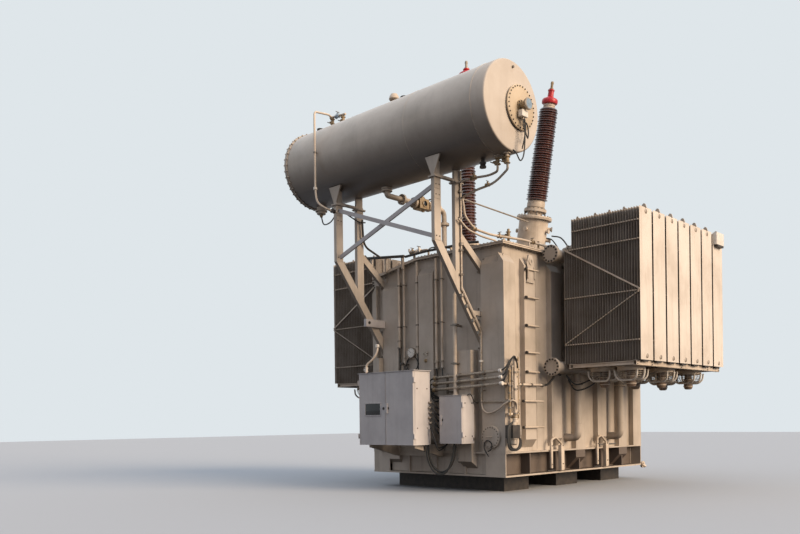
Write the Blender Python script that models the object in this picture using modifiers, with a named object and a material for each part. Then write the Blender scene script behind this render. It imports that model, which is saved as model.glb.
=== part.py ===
"""Power transformer with two radiator banks, a conservator on braced posts and two bushings.

Metres, +Z up. X runs along the long sides of the tank, and the conservator hangs off the -X end.
The origin is the centre of the base, on the surface that the transformer stands on.
"""
import math

import bmesh
import bpy
from mathutils import Matrix, Vector

# Clearances and small joints between pieces
SEAT_GAP = 0.0003
HINGE_GAP = 0.0005
DOOR_GAP = 0.006
EMBED = 0.012
OVERRUN = 0.05
WELD_DISTANCE = 0.0001

# Bearers and base
BEARER_HEIGHT = 0.28
BEARER_WIDTH = 0.75
BEARER_LENGTH = 2.6
BEARER_PITCH = 1.66
BASE_LENGTH = 4.84
BASE_WIDTH = 3.25
BASE_HEIGHT = 0.435
BASE_PLATE = 0.03
WEB_INSET = 0.24
GUSSET_THICKNESS = 0.03
GUSSET_SETBACK = 0.03
CORNER_PLATE_WIDTH = 0.43
CORNER_PLATE_THICKNESS = 0.02
END_GUSSET_COUNT = 5
FOOT_RISE = 0.25
FOOT_SETBACK = 0.004

# Tank, its stiffeners and its cover
TANK_LENGTH = 4.64
TANK_WIDTH = 3.05
TANK_HEIGHT = 3.615
SHOULDER_WIDTH = 1.1
SHOULDER_DROP = 0.2
STIFFENER_WIDTH = 0.33
STIFFENER_DEPTH = 0.1
STIFFENER_SLOPE = 0.16
STIFFENER_TOP_GAP = 0.15
STIFFENER_FOOT_GAP = 0.05
STIFFENER_SHARES = (0.0, 0.135, 0.32, 0.5, 0.68, 0.865, 1.0)
COVER_THICKNESS = 0.05
COVER_OVERHANG = 0.1
END_STIFFENER_PLACES = (-1.34, 0.19, 1.125)
END_STIFFENER_WIDTHS = (0.43, 0.36, 0.41)
STRAIGHT_STIFFENERS = (0, 3, 5, 6)
STRAIGHT_END_STIFFENERS = (0, 2)
PEDESTAL_PLACES = (-0.815, 1.375)
PEDESTAL_WIDTHS = (0.3, 0.07)
PEDESTAL_HEIGHT = 1.81

# Conservator
CONSERVATOR_RADIUS = 0.728
CONSERVATOR_AXIS_X = -3.15
CONSERVATOR_AXIS_Z = 6.28
CONSERVATOR_NEAR_Y = -2.38
CONSERVATOR_FAR_Y = 2.515
HEAD_LENGTH = 0.28
MANHOLE_RADIUS = 0.36
MANHOLE_NECK_RADIUS = 0.335
MANHOLE_NECK = 0.03
MANHOLE_THICKNESS = 0.028
MANHOLE_OFFSET = 0.17
END_FLANGE_RADIUS = 0.77
END_FLANGE_THICKNESS = 0.06
END_DISH_RADIUS = 0.64
END_DISH_DEPTH = 0.11
SUMP_RADIUS = 0.09
SUMP_DEPTH = 0.14
SUMP_Y = 2.3

# Posts that carry the conservator
POST_DEPTH = 0.165
POST_WIDTH = 0.07
STRUT_DEPTH = 0.15
TOP_STRUT_DEPTH = 0.12
OUTER_POST_X = -3.525
INNER_POST_X = -2.995
FRAME_NEAR_Y = -1.075
FRAME_FAR_Y = 1.375
KNEE_Z = 4.28
STRUT_FOOT_Z = 2.56
TIE_Z = 3.12
TIE_HEIGHT = 0.08
TOP_STRUT_Z = 4.43
TOP_STRUT_FOOT_Z = 3.95
SADDLE_BOTTOM_Z = 5.36
SADDLE_WEB = 0.04
PAD_WIDTH = 0.32
PAD_THICKNESS = 0.03
PAD_DROP = 0.3
BRACE_BAR = 0.08
BRACE_THICKNESS = 0.03
BRACE_LOW_Z = 4.33
BRACE_HIGH_Z = 5.2

# Radiators
RADIATOR_COUNT = 7
RADIATOR_PITCH = 0.494
RADIATOR_WIDTH = 0.438
RADIATOR_HEIGHT = 2.61
RADIATOR_BOTTOM_Z = 2.277
BANK_START_X = -1.004
BANK_INNER_GAP = 0.31
FAR_BANK_START_X = -1.85
FAR_BANK_DROP = 0.15
FIN_COUNT = 10
FIN_PITCH = 0.1635
FIN_THICKNESS = 0.03
FIN_TIP_THICKNESS = 0.022
FIN_SPINE = 0.07
SHORT_FIN_COUNT = 1
SHORT_FIN_HEIGHT = 2.07

# Collector pipes between the tank and the radiators
COLLECTOR_RADIUS = 0.11
COLLECTOR_FLANGE_RADIUS = 0.165
COLLECTOR_FLANGE_THICKNESS = 0.035
COLLECTOR_STANDOFF = 0.17
COLLECTOR_LEAD = 0.2
UPPER_COLLECTOR_Z = 4.28
LOWER_COLLECTOR_Z = 2.23
STUB_RADIUS = 0.04
UPPER_STUB_RISE = 0.13
LOWER_STUB_RISE = 0.09
WALL_STUB_RADIUS = 0.08
WALL_STUB_DROP = 0.1
WALL_STUB_PLACES = (-0.37, 1.22)
DOWNPIPE_RADIUS = 0.075
DOWNPIPE_BOTTOM_Z = 0.93

# Fan trays under the radiators
TRAY_BEAM_WIDTH = 0.06
TRAY_BEAM_HEIGHT = 0.09
TRAY_MARGIN = 0.12
FAN_COLUMNS = 3
FAN_COLUMN_PITCH = 1.15
FAN_ROW_PITCH = 0.53
FAN_RADIUS = 0.245
FAN_RING_THICKNESS = 0.02
FAN_RING_HEIGHT = 0.06
FAN_MOTOR_RADIUS = 0.085
FAN_MOTOR_DROP = 0.45

# Leaning bushing on its turret
LEAN_DEG = 10.2
LEAN_FOOT_X = -0.24
LEAN_FOOT_Y = -0.615
TURRET_RADIUS = 0.28
TURRET_HEIGHT = 0.93
TURRET_FLANGE_RADIUS = 0.345
TURRET_FLANGE_THICKNESS = 0.06
NECK_RADIUS = 0.15
NECK_HEIGHT = 0.1
BUSHING_FLANGE_RADIUS = 0.222
BUSHING_FLANGE_THICKNESS = 0.05
BUSHING_COLLAR_HEIGHT = 0.17
LEAN_PORCELAIN_LENGTH = 1.76
LEAN_PORCELAIN_RADIUS = 0.214
LEAN_CORE_RADIUS = 0.165
LEAN_TOP_SHARE = 0.86
LEAN_SHED_COUNT = 9

# Upright bushing
UPRIGHT_X = -1.36
UPRIGHT_Y = 0.0
UPRIGHT_FOOT_RADIUS = 0.24
UPRIGHT_FOOT_HEIGHT = 0.34
UPRIGHT_PORCELAIN_LENGTH = 3.24
UPRIGHT_PORCELAIN_RADIUS = 0.168
UPRIGHT_CORE_RADIUS = 0.125
UPRIGHT_TOP_SHARE = 0.88
UPRIGHT_SHED_COUNT = 14
SHED_LIP_SHARE = 0.75

# Head of each bushing
CAP_COLLAR_RADIUS = 0.115
CAP_COLLAR_HEIGHT = 0.09
CAP_RADIUS = 0.155
CAP_HEIGHT = 0.13
CAP_NECK_RADIUS = 0.07
CAP_NECK_HEIGHT = 0.15
TERMINAL_RADIUS = 0.025
TERMINAL_HEIGHT = 0.15
UPRIGHT_CAP_NECK_HEIGHT = 0.06

# Control cabinet
CABINET_FRONT_X = -3.342
CABINET_DEPTH = 0.44
CABINET_LOW_Y = -0.325
CABINET_HIGH_Y = 1.053
CABINET_BOTTOM_Z = 0.848
CABINET_HEIGHT = 1.315
CABINET_WALL = 0.02
DOOR_THICKNESS = 0.028
HINGE_OFFSET = 0.022
HINGE_RADIUS = 0.012
HINGE_LENGTH = 0.09
HINGE_INSET = 0.16
HINGE_TAB = 0.01
HANDLE_WIDTH = 0.03
HANDLE_LENGTH = 0.18
HANDLE_REACH = 0.035
CABINET_SPLIT_Y = 0.361
CABINET_HANDLE_Z = 1.513
BRACKET_WIDTH = 0.06
BRACKET_DEPTH = 0.24
BRACKET_INSET = 0.14
BRACKET_TIP = 0.05
BRACKET_PLATE = 0.03

# Small cabinet
BOX_FRONT_X = -2.87
BOX_DEPTH = 0.34
BOX_LOW_Y = -1.03
BOX_HIGH_Y = -0.52
BOX_BOTTOM_Z = 0.87
BOX_HEIGHT = 0.84
BOX_WALL = 0.015
BOX_HANDLE_Z = 1.29
BOX_ARM_WIDTH = 0.05
BOX_ARM_INSET = 0.06

# Oil pipe with its relay
OUTLET_Y = 0.45
OIL_PIPE_RADIUS = 0.05
OIL_PIPE_DROP = 0.13
OIL_FLANGE_RADIUS = 0.1
OIL_FLANGE_THICKNESS = 0.03
OIL_PIPE_END_X = -1.556
RELAY_X = -2.23
RELAY_LENGTH = 0.3
RELAY_WIDTH = 0.2
RELAY_HEIGHT = 0.26

# Conduits, breather pipe and the valve column at the near corner
CONDUIT_RADIUS = 0.022
CONDUIT_STANDOFF = 0.25
CONDUIT_CLIP_COUNT = 3
CONDUIT_Y = -0.645
CONDUIT_TOP_Z = 3.45
BREATHER_RADIUS = 0.02
BREATHER_X = -2.95
BREATHER_BOTTOM_Z = 1.6
COLUMN_RADIUS = 0.045
COLUMN_X = -2.29
COLUMN_STANDOFF = 0.12
COLUMN_BOX_HALF = 0.08
COLUMN_BOX_HEIGHT = 0.22
COLUMN_BOTTOM_Z = 0.86
COLUMN_TOP_Z = 2.35
HAND_HOLE_RADIUS = 0.2
HAND_HOLE_THICKNESS = 0.04
HAND_HOLE_Y = -1.33
HAND_HOLE_Z = 0.98
CABLE_RADIUS = 0.014
CABLE_SAG = 0.54
CABLE_START_X = -2.95
CABLE_START_Y = -0.27
CABLE_END_X = -2.75
CABLE_END_Y = -0.75
CABLE_POINTS = 25
CABLE_SEAT_GAP = 0.0009

# Facets of round pieces
PIPE_SIDES = 12
RING_SIDES = 12
STUB_SIDES = 8
BIG_SIDES = 40
TURNED_STEPS = 16
SMOOTH_ANGLE = math.radians(35)

BASE_TOP_Z = BEARER_HEIGHT + BASE_HEIGHT
TANK_TOP_Z = BASE_TOP_Z + TANK_HEIGHT
COVER_TOP_Z = TANK_TOP_Z + SEAT_GAP + COVER_THICKNESS
TANK_END_X = -TANK_LENGTH / 2
TANK_SIDE_Y = -TANK_WIDTH / 2
PEDESTAL_FRONT_X = BOX_FRONT_X + BOX_DEPTH + SEAT_GAP
BASE_SIDE_Y = -BASE_WIDTH / 2
BANK_INNER_Y = BASE_SIDE_Y - BANK_INNER_GAP
COLLECTOR_Y = BASE_SIDE_Y - COLLECTOR_STANDOFF
BANK_LENGTH = (RADIATOR_COUNT - 1) * RADIATOR_PITCH + RADIATOR_WIDTH
BANK_DEPTH = (FIN_COUNT - 1) * FIN_PITCH + FIN_THICKNESS


def clear_scene():
    for obj in list(bpy.data.objects):
        bpy.data.objects.remove(obj, do_unlink=True)


def make_collection(name):
    collection = bpy.data.collections.new(name)
    bpy.context.scene.collection.children.link(collection)
    return collection


def make_material(name, colour, roughness, metallic=0.0):
    material = bpy.data.materials.new(name)
    material.use_nodes = True
    shader = material.node_tree.nodes["Principled BSDF"]
    shader.inputs["Base Color"].default_value = (*colour, 1.0)
    shader.inputs["Roughness"].default_value = roughness
    shader.inputs["Metallic"].default_value = metallic
    return material


clear_scene()
PARTS = make_collection("power_transformer")
TOOLS = make_collection("cutters")
ROOT = bpy.data.objects.new("transformer_root", None)
PARTS.objects.link(ROOT)

PAINT = make_material("grey_beige_paint", (0.48, 0.42, 0.36), 0.5)
PALE_PAINT = make_material("pale_paint", (0.66, 0.6, 0.53), 0.45)
PORCELAIN = make_material("brown_porcelain", (0.08, 0.03, 0.02), 0.2)
CAP_RED = make_material("red_cap", (0.7, 0.02, 0.03), 0.4)
BARE_METAL = make_material("bare_steel", (0.4, 0.38, 0.35), 0.4, 1.0)
DARK_STEEL = make_material("dark_steel", (0.06, 0.055, 0.05), 0.7)
CABLE_BLACK = make_material("black_cable", (0.02, 0.02, 0.02), 0.5)


def tool_object(name, data):
    """A working piece, hidden from renders, that later becomes part of a node."""
    obj = bpy.data.objects.new(name, data)
    TOOLS.objects.link(obj)
    obj.hide_render = True
    obj.display_type = "WIRE"
    return obj


def evaluated_mesh(obj):
    depsgraph = bpy.context.evaluated_depsgraph_get()
    return bpy.data.meshes.new_from_object(obj.evaluated_get(depsgraph), depsgraph=depsgraph)


def taken_from(obj, transform=None):
    """Turns an object with its modifiers into a plain working piece in world space."""
    mesh = evaluated_mesh(obj)
    mesh.transform(obj.matrix_world if transform is None else transform)
    bpy.data.objects.remove(obj, do_unlink=True)
    return tool_object("piece", mesh)


def box(low, high):
    low, high = Vector(low), Vector(high)
    shape = bmesh.new()
    bmesh.ops.create_cube(shape, size=1.0)
    size = Matrix.Diagonal((*(high - low), 1.0))
    bmesh.ops.transform(shape, matrix=Matrix.Translation((low + high) / 2) @ size, verts=shape.verts)
    mesh = bpy.data.meshes.new("box")
    shape.to_mesh(mesh)
    shape.free()
    return tool_object("box", mesh)


def rod(start, end, radius, sides=PIPE_SIDES, end_radius=None):
    """A round bar from start to end; a second radius makes it a cone."""
    start, end = Vector(start), Vector(end)
    along = end - start
    shape = bmesh.new()
    bmesh.ops.create_cone(shape, cap_ends=True, segments=sides, radius1=radius,
                          radius2=radius if end_radius is None else end_radius, depth=along.length)
    turn = along.to_track_quat("Z", "Y").to_matrix().to_4x4()
    bmesh.ops.transform(shape, matrix=Matrix.Translation((start + end) / 2) @ turn, verts=shape.verts)
    mesh = bpy.data.meshes.new("rod")
    shape.to_mesh(mesh)
    shape.free()
    return tool_object("rod", mesh)


def prism(outline, low, high, axis):
    """A flat outline pulled along one axis; its pairs are (y, z), (x, z) or (x, y) for X, Y and Z."""
    curve = bpy.data.curves.new("outline", "CURVE")
    curve.dimensions = "2D"
    curve.fill_mode = "BOTH"
    curve.extrude = (high - low) / 2
    spline = curve.splines.new("POLY")
    spline.points.add(len(outline) - 1)
    for point, (first, second) in zip(spline.points, outline):
        point.co = (first, second, 0, 1)
    spline.use_cyclic_u = True
    middle = (low + high) / 2
    turns = {
        "X": Matrix(((0, 0, 1, middle), (1, 0, 0, 0), (0, 1, 0, 0), (0, 0, 0, 1))),
        "Y": Matrix(((1, 0, 0, 0), (0, 0, -1, middle), (0, 1, 0, 0), (0, 0, 0, 1))),
        "Z": Matrix.Translation((0, 0, middle)),
    }
    return welded(taken_from(tool_object("outline", curve), turns[axis]))


def turned(profile, place, steps=TURNED_STEPS):
    """A turned piece from a profile of (radius, height) pairs, top to bottom, then put in place."""
    mesh = bpy.data.meshes.new("profile")
    mesh.from_pydata([(radius, 0, height) for radius, height in profile],
                     [(i, i + 1) for i in range(len(profile) - 1)], [])
    obj = tool_object("profile", mesh)
    screw = obj.modifiers.new("turn", "SCREW")
    screw.steps = steps
    screw.render_steps = steps
    screw.use_merge_vertices = True
    screw.merge_threshold = 0.0001
    screw.use_smooth_shade = False
    return welded(taken_from(obj, place))


def tube(points, radius, resolution=2):
    """A bent pipe or cable through points, with its ends closed."""
    curve = bpy.data.curves.new("route", "CURVE")
    curve.dimensions = "3D"
    curve.bevel_depth = radius
    curve.bevel_resolution = resolution
    curve.use_fill_caps = True
    spline = curve.splines.new("POLY")
    spline.points.add(len(points) - 1)
    for point, place in zip(spline.points, points):
        point.co = (*place, 1)
    return welded(taken_from(tool_object("route", curve), Matrix.Identity(4)))


def welded(obj):
    """Closes a shape's seams and splits its faces into triangles, which are always flat."""
    shape = bmesh.new()
    shape.from_mesh(obj.data)
    bmesh.ops.remove_doubles(shape, verts=shape.verts, dist=WELD_DISTANCE)
    bmesh.ops.triangulate(shape, faces=shape.faces)
    shape.to_mesh(obj.data)
    shape.free()
    return obj


def combined(pieces, operation="UNION"):
    """Joins the later pieces to the first one, or cuts them out of it."""
    first = pieces[0]
    for other in pieces[1:]:
        step = first.modifiers.new("step", "BOOLEAN")
        step.operation = operation
        step.object = other
        step.solver = "EXACT"
    result = taken_from(first)
    for other in pieces[1:]:
        bpy.data.objects.remove(other, do_unlink=True)
    return result


def node(piece, name, material, anchor=(0, 0, 0), smooth=True):
    """Makes a working piece a named part of the transformer, with its origin at anchor."""
    piece.data.transform(Matrix.Translation(-Vector(anchor)))
    piece.location = anchor
    piece.name = name
    piece.data.name = name
    piece.data.materials.clear()
    piece.data.materials.append(material)
    if smooth:
        piece.data.shade_smooth()
        piece.data.set_sharp_from_angle(angle=SMOOTH_ANGLE)
    piece.hide_render = False
    piece.display_type = "TEXTURED"
    piece.parent = ROOT
    TOOLS.objects.unlink(piece)
    PARTS.objects.link(piece)
    return piece


def spread(low, high, count):
    """Evenly spaced values from low to high."""
    return [low + (high - low) * i / (count - 1) for i in range(count)]


def stiffener_places():
    end = TANK_END_X - STIFFENER_DEPTH + STIFFENER_WIDTH / 2
    return [end + share * -2 * end for share in STIFFENER_SHARES]


def roof_z(y):
    """Height of the tank's top at y: flat, then a shoulder that slopes down on the +Y side."""
    shoulder_y = -TANK_SIDE_Y - SHOULDER_WIDTH
    return TANK_TOP_Z - SHOULDER_DROP * max(y - shoulder_y, 0) / SHOULDER_WIDTH


def build_bearers():
    names = ("bearer_front", "bearer_middle", "bearer_rear")
    for name, x in zip(names, spread(-BEARER_PITCH, BEARER_PITCH, 3)):
        low = (x - BEARER_WIDTH / 2, -BEARER_LENGTH / 2, 0)
        high = (x + BEARER_WIDTH / 2, BEARER_LENGTH / 2, BEARER_HEIGHT)
        node(box(low, high), name, DARK_STEEL, (x, 0, 0), smooth=False)


def foot_outline(inner, outer, low_z, top_z):
    """Side view of a stiffener's lower end that runs down over the base and slopes back to its web."""
    return [(inner, low_z), (outer, low_z + FOOT_RISE), (outer, top_z), (inner, top_z)]


def build_base():
    """Two plates held apart by a web, with gussets and stiffener feet under the ledge."""
    bottom = BEARER_HEIGHT + SEAT_GAP
    half_x, half_y = BASE_LENGTH / 2, BASE_WIDTH / 2
    pieces = [box((-half_x, -half_y, bottom), (half_x, half_y, bottom + BASE_PLATE))]
    pieces.append(box((-half_x, -half_y, BASE_TOP_Z - BASE_PLATE), (half_x, half_y, BASE_TOP_Z)))
    inner_x, inner_y = half_x - WEB_INSET, half_y - WEB_INSET
    embed = BASE_PLATE / 2
    low_z, high_z = bottom + embed, BASE_TOP_Z - embed
    pieces.append(box((-inner_x, -inner_y, low_z), (inner_x, inner_y, high_z)))
    reach_x, reach_y = half_x - GUSSET_SETBACK, half_y - GUSSET_SETBACK
    half = GUSSET_THICKNESS / 2
    for x in stiffener_places()[1:-1]:
        pieces.append(box((x - half, -reach_y, low_z), (x + half, reach_y, high_z)))
    for y in spread(-inner_y, inner_y, END_GUSSET_COUNT):
        pieces.append(box((-reach_x, y - half, low_z), (reach_x, y + half, high_z)))
    face_x, face_y = half_x - FOOT_SETBACK, half_y - FOOT_SETBACK
    for corner_x in (-face_x, face_x - CORNER_PLATE_THICKNESS):
        for corner_y in (-face_y, face_y - CORNER_PLATE_WIDTH):
            end = (corner_x + CORNER_PLATE_THICKNESS, corner_y + CORNER_PLATE_WIDTH, high_z)
            pieces.append(box((corner_x, corner_y, low_z), end))
    half = STIFFENER_WIDTH / 2
    places = stiffener_places()
    footed = (places[len(places) // 2], places[-2])
    for outward in (-1, 1):
        outline = foot_outline(outward * (inner_y - EMBED), outward * (half_y - FOOT_SETBACK), low_z, high_z)
        for x in footed:
            pieces.append(prism(outline, x - half, x + half, "X"))
        outline = foot_outline(outward * (inner_x - EMBED), outward * (half_x - FOOT_SETBACK), low_z, high_z)
        y, width = END_STIFFENER_PLACES[-1], END_STIFFENER_WIDTHS[-1]
        pieces.append(prism(outline, y - width / 2, y + width / 2, "Y"))
    outline = foot_outline(EMBED - inner_x, PEDESTAL_FRONT_X, low_z, BASE_TOP_Z)
    y, width = PEDESTAL_PLACES[0], PEDESTAL_WIDTHS[0]
    pieces.append(prism(outline, y - width / 2, y + width / 2, "Y"))
    node(combined(pieces), "base_frame", PAINT, (0, 0, bottom), smooth=False)


def stiffener_outline(face, outward, foot_slope, top):
    """Side view of a box stiffener on a wall: (distance along the wall's normal axis, z)."""
    inner = face - outward * EMBED
    outer = face + outward * STIFFENER_DEPTH
    foot = BASE_TOP_Z + (STIFFENER_FOOT_GAP if foot_slope else SEAT_GAP)
    return [(inner, foot), (outer, foot + foot_slope), (outer, top - STIFFENER_SLOPE), (inner, top)]


def build_tank():
    half_x, half_y = -TANK_END_X, -TANK_SIDE_Y
    bottom = BASE_TOP_Z + SEAT_GAP
    shoulder_y = half_y - SHOULDER_WIDTH
    walls = [(-half_y, bottom), (half_y, bottom), (half_y, roof_z(half_y)),
             (shoulder_y, TANK_TOP_Z), (-half_y, TANK_TOP_Z)]
    pieces = [prism(walls, -half_x, half_x, "X")]
    places = stiffener_places()
    for outward in (-1, 1):
        top = roof_z(outward * half_y) - STIFFENER_TOP_GAP
        for i, x in enumerate(places):
            slope = 0 if i in STRAIGHT_STIFFENERS else STIFFENER_SLOPE
            outline = stiffener_outline(outward * half_y, outward, slope, top)
            pieces.append(prism(outline, x - STIFFENER_WIDTH / 2, x + STIFFENER_WIDTH / 2, "X"))
        for i, (y, width) in enumerate(zip(END_STIFFENER_PLACES, END_STIFFENER_WIDTHS)):
            slope = 0 if i in STRAIGHT_END_STIFFENERS else STIFFENER_SLOPE
            outline = stiffener_outline(outward * half_x, outward, slope, roof_z(y + width / 2) - STIFFENER_TOP_GAP)
            pieces.append(prism(outline, y - width / 2, y + width / 2, "Y"))
    for y, width in zip(PEDESTAL_PLACES, PEDESTAL_WIDTHS):
        low = (PEDESTAL_FRONT_X, y - width / 2, bottom)
        high = (-half_x + EMBED, y + width / 2, bottom + PEDESTAL_HEIGHT)
        pieces.append(box(low, high))
    node(combined(pieces), "tank_body", PAINT, (0, 0, bottom), smooth=False)


def build_cover():
    edge = -TANK_SIDE_Y + COVER_OVERHANG
    shoulder_y = -TANK_SIDE_Y - SHOULDER_WIDTH
    under = [(-edge, TANK_TOP_Z), (shoulder_y, TANK_TOP_Z), (edge, roof_z(edge))]
    outline = [(y, z + SEAT_GAP) for y, z in under]
    outline += [(y, z + SEAT_GAP + COVER_THICKNESS) for y, z in reversed(under)]
    half_x = -TANK_END_X + COVER_OVERHANG
    node(prism(outline, -half_x, half_x, "X"), "tank_cover", PAINT, (0, 0, TANK_TOP_Z), smooth=False)


def build_conservator():
    x, z = CONSERVATOR_AXIS_X, CONSERVATOR_AXIS_Z
    seam_y = CONSERVATOR_NEAR_Y + HEAD_LENGTH
    flange_y = CONSERVATOR_FAR_Y - END_FLANGE_THICKNESS
    shell = rod((x, seam_y + SEAT_GAP, z), (x, flange_y - SEAT_GAP, z), CONSERVATOR_RADIUS, BIG_SIDES)
    floor_z = z - CONSERVATOR_RADIUS
    sump = rod((x, SUMP_Y, floor_z - SUMP_DEPTH), (x, SUMP_Y, floor_z + OVERRUN), SUMP_RADIUS)
    outlet = rod((x, OUTLET_Y, floor_z - OIL_FLANGE_THICKNESS), (x, OUTLET_Y, floor_z + OVERRUN),
                 OIL_FLANGE_RADIUS)
    node(combined([shell, sump, outlet]), "conservator_shell", PAINT, (x, seam_y, z))

    head = rod((x, CONSERVATOR_NEAR_Y, z), (x, seam_y, z), CONSERVATOR_RADIUS, BIG_SIDES)
    hole_x = x + MANHOLE_OFFSET
    rim_y = CONSERVATOR_NEAR_Y - MANHOLE_NECK
    neck = rod((hole_x, rim_y, z), (hole_x, CONSERVATOR_NEAR_Y + EMBED, z), MANHOLE_NECK_RADIUS, BIG_SIDES)
    node(combined([head, neck]), "conservator_head", PAINT, (x, CONSERVATOR_NEAR_Y, z))
    lid_y = rim_y - SEAT_GAP
    lid = rod((hole_x, lid_y - MANHOLE_THICKNESS, z), (hole_x, lid_y, z), MANHOLE_RADIUS, BIG_SIDES)
    node(lid, "manhole_cover", PAINT, (hole_x, lid_y, z))

    flange = rod((x, flange_y, z), (x, CONSERVATOR_FAR_Y, z), END_FLANGE_RADIUS, BIG_SIDES)
    dish = rod((x, CONSERVATOR_FAR_Y - EMBED, z), (x, CONSERVATOR_FAR_Y + END_DISH_DEPTH, z),
               CONSERVATOR_RADIUS - EMBED, BIG_SIDES, END_DISH_RADIUS)
    node(combined([flange, dish]), "conservator_end", PAINT, (x, flange_y, z))


def shell_bottom_z(x):
    """Height of the conservator's underside at x."""
    return CONSERVATOR_AXIS_Z - math.sqrt(CONSERVATOR_RADIUS ** 2 - (x - CONSERVATOR_AXIS_X) ** 2)


def build_frame(side, y):
    """A braced pair of posts under one end of the conservator, standing off the tank's end wall."""
    low_y, high_y = y - POST_WIDTH / 2, y + POST_WIDTH / 2
    wall_x = TANK_END_X - SEAT_GAP
    outer_low, outer_high = OUTER_POST_X - POST_DEPTH / 2, OUTER_POST_X + POST_DEPTH / 2
    inner_low, inner_high = INNER_POST_X - POST_DEPTH / 2, INNER_POST_X + POST_DEPTH / 2
    steep = (STRUT_FOOT_Z - KNEE_Z) / (wall_x - outer_low)
    depth_z = STRUT_DEPTH * math.hypot(1, steep)

    def strut_top(x):
        return KNEE_Z + depth_z + steep * (x - outer_low)

    strut = [(outer_low, KNEE_Z), (wall_x, STRUT_FOOT_Z), (wall_x, STRUT_FOOT_Z + depth_z),
             (outer_low, strut_top(outer_low))]
    post_top = SADDLE_BOTTOM_Z - SEAT_GAP
    post = [(outer_low, KNEE_Z + depth_z / 2), (outer_high, strut_top(outer_high) - depth_z / 2),
            (outer_high, post_top), (outer_low, post_top)]
    tie_x = outer_low + (TIE_Z - KNEE_Z - depth_z / 2) / steep
    tie = box((tie_x, low_y, TIE_Z), (wall_x, high_y, TIE_Z + TIE_HEIGHT))
    pieces = [prism(strut, low_y, high_y, "Y"), prism(post, low_y, high_y, "Y"), tie]
    node(combined(pieces), side + "_outer_post", PAINT, (OUTER_POST_X, y, KNEE_Z), smooth=False)

    clear = SEAT_GAP * math.hypot(1, steep)
    post = [(inner_low, strut_top(inner_low) + clear), (inner_high, strut_top(inner_high) + clear),
            (inner_high, post_top), (inner_low, post_top)]
    node(prism(post, low_y, high_y, "Y"), side + "_inner_post", PAINT, (INNER_POST_X, y, KNEE_Z), smooth=False)

    start_x = inner_high + SEAT_GAP
    steep = (TOP_STRUT_FOOT_Z - TOP_STRUT_Z) / (wall_x - start_x)
    half_z = TOP_STRUT_DEPTH / 2 * math.hypot(1, steep)
    strut = [(start_x, TOP_STRUT_Z - half_z), (wall_x, TOP_STRUT_FOOT_Z - half_z),
             (wall_x, TOP_STRUT_FOOT_Z + half_z), (start_x, TOP_STRUT_Z + half_z)]
    node(prism(strut, low_y, high_y, "Y"), side + "_top_strut", PAINT, (start_x, y, TOP_STRUT_Z), smooth=False)

    half_web = SADDLE_WEB / 2
    pad_x = outer_low + PAD_THICKNESS
    pad_top = shell_bottom_z(pad_x)
    pad = [(y - PAD_WIDTH / 2, pad_top), (y + PAD_WIDTH / 2, pad_top),
           (high_y, pad_top - PAD_DROP), (low_y, pad_top - PAD_DROP)]
    web = box((outer_low, y - half_web, SADDLE_BOTTOM_Z), (inner_high, y + half_web, pad_top))
    foot = box((outer_low, low_y, SADDLE_BOTTOM_Z), (inner_high, high_y, SADDLE_BOTTOM_Z + SADDLE_WEB))
    shell = rod((CONSERVATOR_AXIS_X, y - PAD_WIDTH, CONSERVATOR_AXIS_Z),
                (CONSERVATOR_AXIS_X, y + PAD_WIDTH, CONSERVATOR_AXIS_Z), CONSERVATOR_RADIUS + SEAT_GAP, BIG_SIDES)
    saddle = combined([web, prism(pad, outer_low, pad_x, "X"), foot])
    gap = box((outer_high, y - PAD_WIDTH, SADDLE_BOTTOM_Z + SADDLE_WEB), (inner_low, y + PAD_WIDTH, CONSERVATOR_AXIS_Z))
    anchor = (OUTER_POST_X, y, SADDLE_BOTTOM_Z)
    node(combined([saddle, gap, shell], "DIFFERENCE"), side + "_saddle", PAINT, anchor, smooth=False)


def build_braces():
    """Two flat bars that cross between the outer posts, one in front of the other."""
    low_y = FRAME_NEAR_Y + POST_WIDTH / 2 + SEAT_GAP
    high_y = FRAME_FAR_Y - POST_WIDTH / 2 - SEAT_GAP
    front_x = OUTER_POST_X - BRACE_THICKNESS - SEAT_GAP / 2
    for name, near_z, far_z, x in (("brace_rising", BRACE_LOW_Z, BRACE_HIGH_Z, front_x),
                                   ("brace_falling", BRACE_HIGH_Z, BRACE_LOW_Z, OUTER_POST_X + SEAT_GAP / 2)):
        outline = [(low_y, near_z), (high_y, far_z), (high_y, far_z + BRACE_BAR), (low_y, near_z + BRACE_BAR)]
        node(prism(outline, x, x + BRACE_THICKNESS, "X"), name, PAINT, (x, low_y, near_z), smooth=False)


def radiator():
    """One radiator, from its inner face outward to -Y: tapered fins on a spine, the first cut short."""
    middle, half_spine = RADIATOR_WIDTH / 2, FIN_SPINE / 2
    taper = (FIN_THICKNESS - FIN_TIP_THICKNESS) / 2
    left, right = [], []
    for i in range(FIN_COUNT):
        near, far = -i * FIN_PITCH, -i * FIN_PITCH - FIN_THICKNESS
        left += [(middle - half_spine, near), (0, near - taper), (0, far + taper), (middle - half_spine, far)]
        right += [(middle + half_spine, near), (RADIATOR_WIDTH, near - taper), (RADIATOR_WIDTH, far + taper),
                  (middle + half_spine, far)]
    comb = prism(left + right[::-1], 0, RADIATOR_HEIGHT, "Z")
    tall_y = -SHORT_FIN_COUNT * FIN_PITCH - SEAT_GAP
    above = box((-OVERRUN, tall_y, SHORT_FIN_HEIGHT),
                (RADIATOR_WIDTH + OVERRUN, OVERRUN, RADIATOR_HEIGHT + OVERRUN))
    return combined([comb, above], "DIFFERENCE")


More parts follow.
